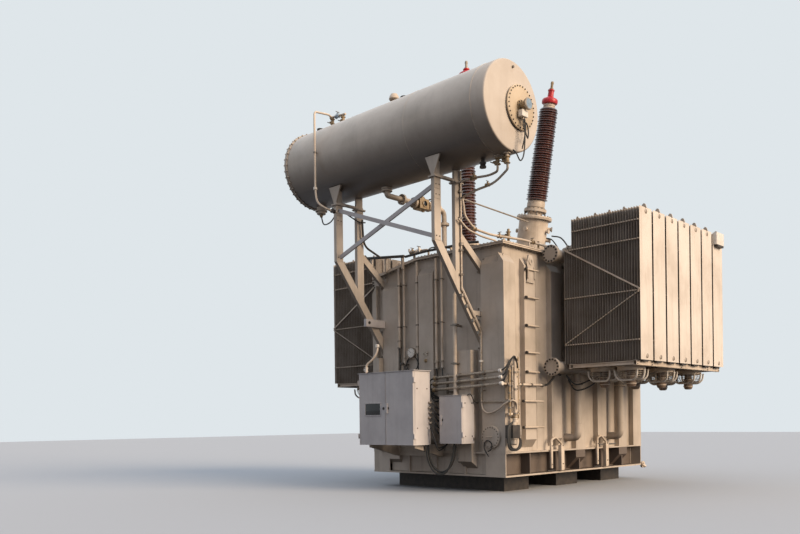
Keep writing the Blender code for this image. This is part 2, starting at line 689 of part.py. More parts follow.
def build_radiators():
    first = radiator()
    for side, start_x, turn in (("near", BANK_START_X, 0), ("far", FAR_BANK_START_X, math.pi)):
        for i in range(RADIATOR_COUNT):
            copy = tool_object("radiator", first.data)
            place_x = start_x + i * RADIATOR_PITCH
            if turn:
                copy.location = (place_x + RADIATOR_WIDTH, -BANK_INNER_Y, RADIATOR_BOTTOM_Z - FAR_BANK_DROP)
            else:
                copy.location = (place_x, BANK_INNER_Y, RADIATOR_BOTTOM_Z)
            copy.rotation_euler = (0, 0, turn)
            shared_node(copy, f"{side}_radiator_{i + 1}", PAINT)
    bpy.data.objects.remove(first, do_unlink=True)


def shared_node(obj, name, material):
    """Names an object that shares its mesh with others."""
    if not obj.data.materials:
        obj.data.materials.append(material)
    obj.name = name
    obj.hide_render = False
    obj.display_type = "TEXTURED"
    obj.parent = ROOT
    TOOLS.objects.unlink(obj)
    PARTS.objects.link(obj)


def build_collectors(side, outward, start_x, drop):
    """Oil collectors of one bank: the upper one joins the tank's top, the lower one its bottom."""
    y = -outward * COLLECTOR_Y
    wall_y = -outward * TANK_SIDE_Y + outward * SEAT_GAP
    riser_y = y + outward * EMBED
    face_y = -outward * BANK_INNER_Y
    start = start_x - COLLECTOR_LEAD
    end = start_x + BANK_LENGTH
    centres = [start_x + i * RADIATOR_PITCH + RADIATOR_WIDTH / 2 for i in range(RADIATOR_COUNT)]

    def collector(z):
        return [rod((start, y, z), (end, y, z), COLLECTOR_RADIUS),
                rod((start - COLLECTOR_FLANGE_THICKNESS, y, z), (start + EMBED, y, z), COLLECTOR_FLANGE_RADIUS)]

    z = UPPER_COLLECTOR_Z - drop
    pieces = collector(z)
    stub_z = z + UPPER_STUB_RISE
    tall_y = face_y + outward * (SHORT_FIN_COUNT * FIN_PITCH - SEAT_GAP)
    for x in centres:
        pieces.append(tube([(x, riser_y, z - EMBED), (x, riser_y, stub_z), (x, tall_y, stub_z)], STUB_RADIUS))
    wall_z = roof_z(wall_y) - WALL_STUB_DROP
    for x in WALL_STUB_PLACES:
        pieces.append(tube([(x, wall_y, wall_z), (x, riser_y, wall_z), (x, riser_y, z + STUB_RADIUS)],
                           WALL_STUB_RADIUS))
    node(combined(pieces), side + "_upper_collector", PAINT, (start, y, z))

    z = LOWER_COLLECTOR_Z - drop
    pieces = collector(z)
    stub_z = z + LOWER_STUB_RISE
    for x in centres:
        pieces.append(rod((x, y, stub_z), (x, face_y - outward * SEAT_GAP, stub_z), STUB_RADIUS, STUB_SIDES))
    for x in WALL_STUB_PLACES:
        pieces.append(tube([(x, wall_y, DOWNPIPE_BOTTOM_Z), (x, riser_y, DOWNPIPE_BOTTOM_Z), (x, riser_y, z)],
                           DOWNPIPE_RADIUS))
    node(combined(pieces), side + "_lower_collector", PAINT, (start, y, z))


def build_fan_tray(side, outward, start_x, drop):
    """A frame under one bank, with two rows of fans and their motors hung below it."""
    top = RADIATOR_BOTTOM_Z - SEAT_GAP - drop
    bottom = top - TRAY_BEAM_HEIGHT
    middle_x = start_x + BANK_LENGTH / 2
    middle_y = -outward * BANK_INNER_Y + outward * BANK_DEPTH / 2
    half_x = BANK_LENGTH / 2
    half_y = BANK_DEPTH / 2 - TRAY_MARGIN
    half_beam = TRAY_BEAM_WIDTH / 2
    pieces = []
    for y in (middle_y - half_y, middle_y + half_y):
        pieces.append(box((middle_x - half_x, y - half_beam, bottom), (middle_x + half_x, y + half_beam, top)))
    columns = [middle_x + (i - (FAN_COLUMNS - 1) / 2) * FAN_COLUMN_PITCH for i in range(FAN_COLUMNS)]
    ends = [middle_x - half_x + half_beam, middle_x + half_x - half_beam]
    for x in ends + columns:
        pieces.append(box((x - half_beam, middle_y - half_y, bottom + EMBED),
                          (x + half_beam, middle_y + half_y, top - EMBED)))
    ring_top = bottom + 2 * EMBED
    for x in columns:
        for y in (middle_y - FAN_ROW_PITCH / 2, middle_y + FAN_ROW_PITCH / 2):
            ring_low = (x, y, bottom - FAN_RING_HEIGHT)
            ring = rod(ring_low, (x, y, ring_top), FAN_RADIUS, RING_SIDES)
            hole = rod((x, y, bottom - FAN_RING_HEIGHT - OVERRUN), (x, y, ring_top + OVERRUN),
                       FAN_RADIUS - FAN_RING_THICKNESS, RING_SIDES)
            pieces.append(combined([ring, hole], "DIFFERENCE"))
            pieces.append(rod((x, y, top - FAN_MOTOR_DROP), (x, y, ring_top), FAN_MOTOR_RADIUS))
    node(combined(pieces), side + "_fan_tray", PALE_PAINT, (middle_x, middle_y, top))


def shed_profile(core, radius, top, length, count, top_share):
    """Outer profile of a porcelain with sloping sheds, from the narrower top down to the full width."""
    pitch = length / count
    profile = [(0, top), (core * top_share, top)]
    for i in range(count):
        z = top - i * pitch
        share = top_share + (1 - top_share) * (i + 1) / count
        profile += [(radius * share, z - SHED_LIP_SHARE * pitch), (core * share, z - pitch)]
    return profile + [(0, top - length)]


def cap_profile(bottom, steps):
    """The (radius, height) steps on top of a bushing, such as cap, neck and terminal, from the top down."""
    z = bottom + sum(height for radius, height in steps)
    profile = [(0, z)]
    for radius, height in steps:
        profile += [(radius, z), (radius, z - height)]
        z -= height
    return profile + [(0, z)]


def build_leaning_bushing():
    foot = Vector((LEAN_FOOT_X, LEAN_FOOT_Y, COVER_TOP_Z + SEAT_GAP))
    place = Matrix.Translation(foot) @ Matrix.Rotation(math.radians(LEAN_DEG), 4, "X")
    neck_z = TURRET_HEIGHT + NECK_HEIGHT
    collar_z = neck_z + BUSHING_FLANGE_THICKNESS
    top = collar_z + BUSHING_COLLAR_HEIGHT
    profile = [(0, top), (NECK_RADIUS, top), (NECK_RADIUS, collar_z), (BUSHING_FLANGE_RADIUS, collar_z),
               (BUSHING_FLANGE_RADIUS, neck_z), (NECK_RADIUS, neck_z), (NECK_RADIUS, TURRET_HEIGHT),
               (TURRET_FLANGE_RADIUS, TURRET_HEIGHT),
               (TURRET_FLANGE_RADIUS, TURRET_HEIGHT - TURRET_FLANGE_THICKNESS),
               (TURRET_RADIUS, TURRET_HEIGHT - TURRET_FLANGE_THICKNESS), (TURRET_RADIUS, -TURRET_RADIUS),
               (0, -TURRET_RADIUS)]
    reach = Vector((2 * TURRET_RADIUS, 2 * TURRET_RADIUS, 0))
    below = box(foot - reach - Vector((0, 0, 2 * TURRET_RADIUS)), foot + reach)
    node(combined([turned(profile, place), below], "DIFFERENCE"), "leaning_bushing_turret", PAINT, foot)
    bottom = top + SEAT_GAP
    top = bottom + LEAN_PORCELAIN_LENGTH
    profile = shed_profile(LEAN_CORE_RADIUS, LEAN_PORCELAIN_RADIUS, top, LEAN_PORCELAIN_LENGTH,
                           LEAN_SHED_COUNT, LEAN_TOP_SHARE)
    node(turned(profile, place), "leaning_bushing_porcelain", PORCELAIN, place @ Vector((0, 0, bottom)))
    anchor = place @ Vector((0, 0, top))
    steps = [(TERMINAL_RADIUS, TERMINAL_HEIGHT), (CAP_NECK_RADIUS, CAP_NECK_HEIGHT),
             (CAP_RADIUS, CAP_HEIGHT), (CAP_COLLAR_RADIUS, CAP_COLLAR_HEIGHT)]
    node(turned(cap_profile(top + SEAT_GAP, steps), place), "leaning_bushing_cap", CAP_RED, anchor)


def build_upright_bushing():
    foot = Vector((UPRIGHT_X, UPRIGHT_Y, COVER_TOP_Z + SEAT_GAP))
    place = Matrix.Translation(foot)
    flange_z = UPRIGHT_FOOT_HEIGHT - BUSHING_FLANGE_THICKNESS
    profile = [(0, UPRIGHT_FOOT_HEIGHT), (BUSHING_FLANGE_RADIUS, UPRIGHT_FOOT_HEIGHT),
               (BUSHING_FLANGE_RADIUS, flange_z), (NECK_RADIUS, flange_z), (NECK_RADIUS, flange_z / 2),
               (UPRIGHT_FOOT_RADIUS, flange_z / 2), (UPRIGHT_FOOT_RADIUS, 0), (0, 0)]
    node(turned(profile, place), "upright_bushing_turret", PAINT, foot)
    bottom = UPRIGHT_FOOT_HEIGHT + SEAT_GAP
    top = bottom + UPRIGHT_PORCELAIN_LENGTH
    profile = shed_profile(UPRIGHT_CORE_RADIUS, UPRIGHT_PORCELAIN_RADIUS, top, UPRIGHT_PORCELAIN_LENGTH,
                           UPRIGHT_SHED_COUNT, UPRIGHT_TOP_SHARE)
    node(turned(profile, place), "upright_bushing_porcelain", PORCELAIN, foot + Vector((0, 0, bottom)))
    steps = [(TERMINAL_RADIUS, TERMINAL_HEIGHT), (CAP_NECK_RADIUS, UPRIGHT_CAP_NECK_HEIGHT),
             (CAP_RADIUS, CAP_HEIGHT)]
    cap = turned(cap_profile(top + SEAT_GAP, steps), place)
    node(cap, "upright_bushing_cap", CAP_RED, foot + Vector((0, 0, top)))


def hinge_levels(bottom, top):
    """Heights where a body knuckle ends and a door knuckle rests on it."""
    return [bottom + HINGE_INSET, top - HINGE_INSET]


def build_cabinet_body(name, front_x, depth, low_y, high_y, bottom, height, wall, hinge_sides, arms=()):
    """A hollow cabinet that is open to -X, with the fixed halves of its hinges."""
    shell_x = front_x + DOOR_THICKNESS + DOOR_GAP
    back_x = front_x + depth
    top = bottom + height
    hollow = box((shell_x - OVERRUN, low_y + wall, bottom + wall), (back_x - wall, high_y - wall, top - wall))
    shell = combined([box((shell_x, low_y, bottom), (back_x, high_y, top)), hollow], "DIFFERENCE")
    pieces = [shell, *arms]
    for edge_y, outward in hinge_sides:
        axis_y = edge_y + outward * HINGE_OFFSET
        for z in hinge_levels(bottom, top):
            low_z = z - HINGE_LENGTH / 2
            pieces.append(rod((front_x, axis_y, low_z), (front_x, axis_y, z), HINGE_RADIUS))
            tab_low, tab_high = sorted((axis_y - outward * HINGE_TAB / 2, axis_y + outward * HINGE_TAB / 2))
            pieces.append(box((front_x, tab_low, low_z), (shell_x + HINGE_OFFSET, tab_high, z)))
            foot_low, foot_high = sorted((axis_y, edge_y - outward * wall / 2))
            pieces.append(box((shell_x + HINGE_TAB / 2, foot_low, low_z), (shell_x + HINGE_OFFSET, foot_high, z)))
    node(combined(pieces), name, PAINT, (back_x, (low_y + high_y) / 2, bottom))


def build_door(name, front_x, edge_y, free_y, bottom, height, handle_z=None):
    """A door whose origin is on its hinge axis, just outside its hinged edge."""
    outward = -1 if edge_y < free_y else 1
    axis_y = edge_y + outward * HINGE_OFFSET
    top = bottom + height
    low_y, high_y = sorted((edge_y, free_y))
    pieces = [box((front_x, low_y, bottom), (front_x + DOOR_THICKNESS, high_y, top))]
    for z in hinge_levels(bottom, top):
        low_z = z + HINGE_GAP
        high_z = z + HINGE_LENGTH / 2
        pieces.append(rod((front_x, axis_y, low_z), (front_x, axis_y, high_z), HINGE_RADIUS))
        tab_low, tab_high = sorted((axis_y, edge_y - outward * EMBED))
        pieces.append(box((front_x, tab_low, low_z), (front_x + HINGE_TAB, tab_high, high_z)))
    if handle_z is not None:
        grip_y = free_y + outward * HANDLE_WIDTH
        grip_low, grip_high = sorted((grip_y, grip_y + outward * HANDLE_WIDTH))
        pieces.append(box((front_x - HANDLE_REACH, grip_low, handle_z - HANDLE_LENGTH / 2),
                          (front_x + EMBED, grip_high, handle_z + HANDLE_LENGTH / 2)))
    node(combined(pieces), name, PAINT, (front_x, axis_y, bottom))


def build_control_cabinet():
    sides = ((CABINET_LOW_Y, -1), (CABINET_HIGH_Y, 1))
    build_cabinet_body("control_cabinet", CABINET_FRONT_X, CABINET_DEPTH, CABINET_LOW_Y, CABINET_HIGH_Y,
                       CABINET_BOTTOM_Z, CABINET_HEIGHT, CABINET_WALL, sides)
    build_door("control_cabinet_near_door", CABINET_FRONT_X, CABINET_LOW_Y, CABINET_SPLIT_Y - DOOR_GAP / 2,
               CABINET_BOTTOM_Z, CABINET_HEIGHT, CABINET_HANDLE_Z)
    build_door("control_cabinet_far_door", CABINET_FRONT_X, CABINET_HIGH_Y, CABINET_SPLIT_Y + DOOR_GAP / 2,
               CABINET_BOTTOM_Z, CABINET_HEIGHT)
    top = CABINET_BOTTOM_Z - SEAT_GAP
    tip_x = CABINET_FRONT_X + BRACKET_INSET
    wall_x = -BASE_LENGTH / 2 - SEAT_GAP
    outline = [(tip_x, top - BRACKET_TIP), (wall_x, top - BRACKET_DEPTH), (wall_x, top), (tip_x, top)]
    low_y, high_y = CABINET_LOW_Y + BRACKET_INSET, CABINET_HIGH_Y - BRACKET_INSET
    pieces = [prism(outline, y - BRACKET_WIDTH / 2, y + BRACKET_WIDTH / 2, "Y") for y in (low_y, high_y)]
    pieces.append(box((wall_x - BRACKET_PLATE, low_y, top - BRACKET_DEPTH + EMBED), (wall_x, high_y, top - EMBED)))
    node(combined(pieces), "cabinet_bracket", PAINT, (wall_x, (low_y + high_y) / 2, top), smooth=False)


def build_marshalling_box():
    back_x = BOX_FRONT_X + BOX_DEPTH
    wall_x = TANK_END_X - SEAT_GAP
    arm_z = BOX_BOTTOM_Z + BOX_HEIGHT / 2
    y = BOX_HIGH_Y - BOX_ARM_INSET
    arm = box((back_x - BOX_WALL / 2, y - BOX_ARM_WIDTH / 2, arm_z - BOX_ARM_WIDTH),
              (wall_x, y + BOX_ARM_WIDTH / 2, arm_z + BOX_ARM_WIDTH))
    build_cabinet_body("marshalling_box", BOX_FRONT_X, BOX_DEPTH, BOX_LOW_Y, BOX_HIGH_Y, BOX_BOTTOM_Z,
                       BOX_HEIGHT, BOX_WALL, ((BOX_LOW_Y, -1),), [arm])
    build_door("marshalling_box_door", BOX_FRONT_X, BOX_LOW_Y, BOX_HIGH_Y, BOX_BOTTOM_Z, BOX_HEIGHT, BOX_HANDLE_Z)


def build_oil_pipe():
    """From the conservator through the gas relay and down to the cover."""
    outlet_z = CONSERVATOR_AXIS_Z - CONSERVATOR_RADIUS - OIL_FLANGE_THICKNESS - SEAT_GAP
    pipe_z = outlet_z + OIL_FLANGE_THICKNESS - OIL_PIPE_DROP
    x, y, end_x = CONSERVATOR_AXIS_X, OUTLET_Y, OIL_PIPE_END_X
    foot_z = COVER_TOP_Z + SEAT_GAP
    thick = OIL_FLANGE_THICKNESS
    relay_low, relay_high = RELAY_X - RELAY_LENGTH / 2, RELAY_X + RELAY_LENGTH / 2
    route = [(x, y, outlet_z - EMBED), (x, y, pipe_z), (end_x, y, pipe_z), (end_x, y, foot_z + EMBED)]
    pieces = [tube(route, OIL_PIPE_RADIUS),
              rod((x, y, outlet_z - thick), (x, y, outlet_z), OIL_FLANGE_RADIUS),
              rod((end_x, y, foot_z), (end_x, y, foot_z + thick), OIL_FLANGE_RADIUS),
              box((relay_low, y - RELAY_WIDTH / 2, pipe_z - RELAY_HEIGHT / 2),
                  (relay_high, y + RELAY_WIDTH / 2, pipe_z + RELAY_HEIGHT / 2))]
    for flange_x in (relay_low - 2 * thick, relay_high + thick):
        pieces.append(rod((flange_x, y, pipe_z), (flange_x + thick, y, pipe_z), OIL_FLANGE_RADIUS))
    node(combined(pieces), "oil_pipe", PAINT, (x, y, outlet_z))


def build_breather_pipe():
    """A thin pipe from the conservator down the near frame, round the tank's corner to the valves."""
    y = FRAME_NEAR_Y - POST_WIDTH / 2 - SEAT_GAP - BREATHER_RADIUS
    corner_x = TANK_END_X - STIFFENER_DEPTH - SEAT_GAP - BREATHER_RADIUS
    steep = (STRUT_FOOT_Z - KNEE_Z) / (TANK_END_X - OUTER_POST_X + POST_DEPTH / 2)
    strut_z = KNEE_Z + steep * (BREATHER_X - OUTER_POST_X + POST_DEPTH / 2)
    along = strut_z + STRUT_DEPTH / 2 * math.hypot(1, steep)
    side_y = BASE_SIDE_Y - COLUMN_STANDOFF
    end_x = COLUMN_X - COLUMN_RADIUS - SEAT_GAP
    points = [(BREATHER_X, y, shell_bottom_z(BREATHER_X) - BREATHER_RADIUS),
              (BREATHER_X, y, along), (corner_x, y, along + steep * (corner_x - BREATHER_X)),
              (corner_x, y, BREATHER_BOTTOM_Z), (corner_x, side_y, BREATHER_BOTTOM_Z),
              (end_x, side_y, BREATHER_BOTTOM_Z)]
    node(tube(points, BREATHER_RADIUS), "breather_pipe", PAINT, points[0])


def build_conduit():
    """A cable conduit from the top of the marshalling box up the tank's end wall, on clips."""
    x = TANK_END_X - CONDUIT_STANDOFF
    foot_z = BOX_BOTTOM_Z + BOX_HEIGHT + SEAT_GAP
    pieces = [rod((x, CONDUIT_Y, foot_z), (x, CONDUIT_Y, CONDUIT_TOP_Z), CONDUIT_RADIUS)]
    for z in spread(foot_z, CONDUIT_TOP_Z, CONDUIT_CLIP_COUNT + 2)[1:-1]:
        pieces.append(rod((x, CONDUIT_Y, z), (TANK_END_X - SEAT_GAP, CONDUIT_Y, z), CONDUIT_RADIUS / 2, STUB_SIDES))
    node(combined(pieces), "cable_conduit", BARE_METAL, (x, CONDUIT_Y, foot_z))


def build_valve_column():
    """A drive shaft with its gear box, on two arms off the tank's corner."""
    y = BASE_SIDE_Y - COLUMN_STANDOFF
    pieces = [rod((COLUMN_X, y, COLUMN_BOTTOM_Z), (COLUMN_X, y, COLUMN_TOP_Z), COLUMN_RADIUS)]
    for z in spread(COLUMN_BOTTOM_Z, COLUMN_TOP_Z, 4)[1:-1]:
        pieces.append(rod((COLUMN_X, y, z), (COLUMN_X, BASE_SIDE_Y - SEAT_GAP, z), COLUMN_RADIUS / 2, STUB_SIDES))
    low = (COLUMN_X - COLUMN_BOX_HALF, y - COLUMN_BOX_HALF, COLUMN_BOTTOM_Z)
    high = (COLUMN_X + COLUMN_BOX_HALF, y + COLUMN_BOX_HALF, COLUMN_BOTTOM_Z + COLUMN_BOX_HEIGHT)
    pieces.append(box(low, high))
    node(combined(pieces), "valve_column", PAINT, (COLUMN_X, y, COLUMN_BOTTOM_Z))


def build_hand_hole():
    face_x = TANK_END_X - STIFFENER_DEPTH - SEAT_GAP
    lid = rod((face_x - HAND_HOLE_THICKNESS, HAND_HOLE_Y, HAND_HOLE_Z), (face_x, HAND_HOLE_Y, HAND_HOLE_Z),
              HAND_HOLE_RADIUS, RING_SIDES)
    node(lid, "hand_hole_cover", PAINT, (face_x, HAND_HOLE_Y, HAND_HOLE_Z))


def build_cable_loop():
    """A cable that hangs in a U from under the control cabinet to under the marshalling box."""
    start = Vector((CABLE_START_X, CABLE_START_Y, CABINET_BOTTOM_Z - CABLE_SEAT_GAP))
    end = Vector((CABLE_END_X, CABLE_END_Y, BOX_BOTTOM_Z - CABLE_SEAT_GAP))
    points = []
    for t in spread(0, 1, CABLE_POINTS):
        across = (1 - math.cos(math.pi * t)) / 2
        place = start.lerp(end, across)
        place.z -= CABLE_SAG * math.sin(math.pi * t)
        points.append(place)
    node(tube(points, CABLE_RADIUS), "cable_loop", CABLE_BLACK, start)


build_bearers()
build_base()
build_tank()
build_cover()
build_conservator()
build_frame("near", FRAME_NEAR_Y)
build_frame("far", FRAME_FAR_Y)
build_braces()
build_radiators()
build_collectors("near", -1, BANK_START_X, 0)
build_collectors("far", 1, FAR_BANK_START_X, FAR_BANK_DROP)
build_fan_tray("near", -1, BANK_START_X, 0)
build_fan_tray("far", 1, FAR_BANK_START_X, FAR_BANK_DROP)
build_leaning_bushing()
build_upright_bushing()
build_control_cabinet()
build_marshalling_box()
build_oil_pipe()
build_breather_pipe()
build_conduit()
build_valve_column()
build_hand_hole()
build_cable_loop()
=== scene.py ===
import math
import bmesh
import bpy
from mathutils import Matrix, Vector


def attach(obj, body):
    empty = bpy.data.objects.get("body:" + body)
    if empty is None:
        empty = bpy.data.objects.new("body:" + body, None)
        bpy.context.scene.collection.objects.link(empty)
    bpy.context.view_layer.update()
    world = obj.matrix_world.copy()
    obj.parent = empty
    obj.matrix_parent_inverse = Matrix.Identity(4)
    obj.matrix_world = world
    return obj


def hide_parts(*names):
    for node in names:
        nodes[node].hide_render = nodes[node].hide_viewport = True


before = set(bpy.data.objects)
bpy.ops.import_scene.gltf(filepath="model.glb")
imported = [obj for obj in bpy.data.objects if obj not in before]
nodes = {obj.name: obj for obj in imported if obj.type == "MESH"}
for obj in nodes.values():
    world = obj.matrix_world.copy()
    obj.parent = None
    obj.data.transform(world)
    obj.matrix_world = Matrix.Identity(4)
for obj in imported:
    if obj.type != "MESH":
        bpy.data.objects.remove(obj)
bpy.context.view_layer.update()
upward, downward = (0, 0, 1), (0, 0, -1)
cover = {"top": 4.3805, "rim": 0.05, "long": 2.372, "near": -1.575, "fold": 0.425, "slope": -0.2 / 1.1}
print("frame loaded:", len(nodes), "nodes")

# Camera: where the photograph was taken from, as fitted to the tank's and conservator's edges
view = {"place": (-13.695, -10.023, 1.264), "yaw": 44.076, "roll": -0.691, "lens": 36.45, "focal": 810.1,
    "centreU": 400.0, "horizonV": 421.95, "width": 800, "height": 534}


def cameraAxes():
    yaw, roll = math.radians(view["yaw"]), math.radians(view["roll"])
    forward = Vector((math.cos(yaw), math.sin(yaw), 0))
    level = Vector((math.sin(yaw), -math.cos(yaw), 0))
    up = Vector((0, 0, 1))
    right = level * math.cos(roll) + up * math.sin(roll)
    return right, up * math.cos(roll) - level * math.sin(roll), forward


def makeCamera():
    right, up, forward = cameraAxes()
    data = bpy.data.cameras.new("camera")
    data.sensor_width = 36
    data.lens = view["lens"]
    data.shift_y = (view["horizonV"] - view["height"] / 2) / view["width"]
    data.clip_end = 300
    camera = bpy.data.objects.new("camera", data)
    turn = Matrix((right, up, -forward)).transposed().to_4x4()
    camera.matrix_world = Matrix.Translation(view["place"]) @ turn
    bpy.context.scene.collection.objects.link(camera)
    bpy.context.scene.camera = camera


def toLinear(code):
    values = [int(code[i:i + 2], 16) / 255 for i in (1, 3, 5)]
    return [v / 12.92 if v <= 0.04045 else ((v + 0.055) / 1.055) ** 2.4 for v in values] + [1.0]


def addNode(tree, kind, settings=None, links=None):
    node = tree.nodes.new(kind)
    for key, value in (settings or {}).items():
        if isinstance(key, int) or key in node.inputs:
            node.inputs[key].default_value = value
        else:
            setattr(node, key, value)
    for key, source in (links or {}).items():
        tree.links.new(source, node.inputs[key])
    return node


def rampStops(node, stops):
    ramp = node.color_ramp
    while len(ramp.elements) > 1:
        ramp.elements.remove(ramp.elements[-1])
    ramp.elements[0].position, ramp.elements[0].color = stops[0]
    for position, colour in stops[1:]:
        ramp.elements.new(position).color = colour


def startMaterial(name):  # the material, its tree, its shader and the object's own coordinates
    material = bpy.data.materials.new(name)
    material.use_nodes = True
    tree = material.node_tree
    place = addNode(tree, "ShaderNodeTexCoord")
    return material, tree, tree.nodes["Principled BSDF"], place.outputs["Object"]


def mathChain(tree, steps):  # runs values through one sum after another, and gives the last result
    result = None
    for operation, number, sources in steps:
        settings = {"operation": operation} if number is None else {"operation": operation, 1: number}
        links = dict(enumerate(source or result for source in sources))
        result = addNode(tree, "ShaderNodeMath", settings, links).outputs[0]
    return result


# colours of painted shade: under faces that turn downwards, and in the base's recess under its ledge
paintedShade = {"underside": "#2e231c", "recess": "#33221a", "share": 0.78, "ends": 2.36}


def weatheredPaintWithShade(name, look):
    # sprayed and rolled paint outdoors: clouds of dust 0.3 to 1 m wide, rain streaks about 0.1 m wide
    # and 1.4 m long, painted shade on the undersides, and an orange peel of 17 mm, coarser than real so
    # that it shows
    material, tree, shader, place = startMaterial(name)
    clouds = addNode(tree, "ShaderNodeTexNoise", {"Scale": look["cloudsPerMetre"], "Detail": 5,
        "Roughness": 0.6}, {"Vector": place})
    stretch = addNode(tree, "ShaderNodeMapping", {"Scale": (9, 9, 0.7)}, {"Vector": place})
    streaks = addNode(tree, "ShaderNodeTexNoise", {"Scale": 1.0, "Detail": 4, "Roughness": 0.65},
        {"Vector": stretch.outputs[0]})
    base = addNode(tree, "ShaderNodeValToRGB", {}, {"Fac": clouds.outputs["Fac"]})
    rampStops(base, [(0.3, toLinear(look["shadow"])), (0.52, toLinear(look["colour"])),
        (0.75, toLinear(look["light"]))])
    stain = addNode(tree, "ShaderNodeValToRGB", {}, {"Fac": streaks.outputs["Fac"]})
    rampStops(stain, [(0.52, (0, 0, 0, 1)), (0.74, (look["streaks"],) * 3 + (1,))])
    facing = addNode(tree, "ShaderNodeNewGeometry")
    split = addNode(tree, "ShaderNodeSeparateXYZ", {}, {"Vector": facing.outputs["Normal"]})
    # painted shade: darker where a face turns downwards, standing in for the shade under things
    under = addNode(tree, "ShaderNodeMapRange", {"From Min": -0.05, "From Max": -0.75,
        "To Max": look.get("underShade", 0.55)}, {"Value": split.outputs["Z"]})
    layers = [(stain.outputs["Color"], look["stain"]), (under.outputs["Result"], paintedShade["underside"])]
    if "edge" in look:  # painted highlight: pale where a panel turns towards its narrow side, as on lit fin edges
        turned = mathChain(tree, [("ABSOLUTE", None, [split.outputs["X"]])])
        litEdgeHighlight = addNode(tree, "ShaderNodeMapRange", {"From Min": 0.2, "From Max": 0.5}, {"Value": turned})
        layers += [(litEdgeHighlight.outputs["Result"], look["edge"])]
    if "recess" in look:  # painted shade between two levels, beyond a half width and short of the ends: the base's recess
        low, high, half = look["recess"]
        spot = addNode(tree, "ShaderNodeSeparateXYZ", {}, {"Vector": place})
        inner = mathChain(tree, [("ABSOLUTE", None, [spot.outputs["Y"]]), ("GREATER_THAN", half, [None])])
        middle = mathChain(tree, [("ABSOLUTE", None, [spot.outputs["X"]]),
            ("LESS_THAN", paintedShade["ends"], [None])])
        above = mathChain(tree, [("GREATER_THAN", low, [spot.outputs["Z"]])])
        below = mathChain(tree, [("LESS_THAN", high, [spot.outputs["Z"]])])
        share = mathChain(tree, [("MULTIPLY", None, [above, below]), ("MULTIPLY", None, [inner, None]),
            ("MULTIPLY", None, [middle, None]), ("MULTIPLY", paintedShade["share"], [None])])
        layers += [(share, paintedShade["recess"])]
    coat = base.outputs["Color"]
    for share, code in layers:
        mix = addNode(tree, "ShaderNodeMix", {"data_type": "RGBA", 7: toLinear(code)}, {0: share, 6: coat})
        coat = mix.outputs[2]
    tree.links.new(coat, shader.inputs["Base Color"])
    peel = addNode(tree, "ShaderNodeTexNoise", {"Scale": 60, "Detail": 3}, {"Vector": place})
    bump = addNode(tree, "ShaderNodeBump", {"Strength": 0.12, "Distance": 0.002},
        {"Height": peel.outputs["Fac"]})
    tree.links.new(bump.outputs["Normal"], shader.inputs["Normal"])
    rough = addNode(tree, "ShaderNodeMapRange", {"To Min": look["roughness"] - 0.08,
        "To Max": look["roughness"] + 0.14}, {"Value": clouds.outputs["Fac"]})
    tree.links.new(rough.outputs["Result"], shader.inputs["Roughness"])
    shader.inputs["Specular IOR Level"].default_value = look.get("gloss", 0.35)
    return material


def glazedPorcelain(name, look):
    # brown glaze over porcelain: glassy, a little darker where the glaze pools, dust on top
    material, tree, shader, place = startMaterial(name)
    clouds = addNode(tree, "ShaderNodeTexNoise", {"Scale": 14, "Detail": 4}, {"Vector": place})
    normal = addNode(tree, "ShaderNodeNewGeometry")
    split = addNode(tree, "ShaderNodeSeparateXYZ", {}, {"Vector": normal.outputs["Normal"]})
    dust = addNode(tree, "ShaderNodeMapRange", {"From Min": 0.1, "From Max": 1.0, "To Max": look["dust"]},
        {"Value": split.outputs["Z"]})
    glaze = addNode(tree, "ShaderNodeValToRGB", {}, {"Fac": clouds.outputs["Fac"]})
    rampStops(glaze, [(0.3, toLinear(look["shadow"])), (0.7, toLinear(look["colour"]))])
    mix = addNode(tree, "ShaderNodeMix", {"data_type": "RGBA", 7: toLinear(look["dustColour"])},
        {0: dust.outputs["Result"], 6: glaze.outputs["Color"]})
    tree.links.new(mix.outputs[2], shader.inputs["Base Color"])
    rough = addNode(tree, "ShaderNodeMapRange", {"To Min": 0.1, "To Max": 0.26},
        {"Value": clouds.outputs["Fac"]})
    tree.links.new(rough.outputs["Result"], shader.inputs["Roughness"])
    shader.inputs["Coat Weight"].default_value = 0.5
    shader.inputs["Coat Roughness"].default_value = 0.12
    return material


def plainFinish(name, colour, shadow, roughness, metallic=0.0, perMetre=20):
    # a finish whose only change is a soft mottling of colour and gloss
    material, tree, shader, place = startMaterial(name)
    clouds = addNode(tree, "ShaderNodeTexNoise", {"Scale": perMetre, "Detail": 4}, {"Vector": place})
    base = addNode(tree, "ShaderNodeValToRGB", {}, {"Fac": clouds.outputs["Fac"]})
    rampStops(base, [(0.35, toLinear(shadow)), (0.65, toLinear(colour))])
    tree.links.new(base.outputs["Color"], shader.inputs["Base Color"])
    rough = addNode(tree, "ShaderNodeMapRange", {"To Min": roughness - 0.06, "To Max": roughness + 0.1},
        {"Value": clouds.outputs["Fac"]})
    tree.links.new(rough.outputs["Result"], shader.inputs["Roughness"])
    shader.inputs["Metallic"].default_value = metallic
    return material


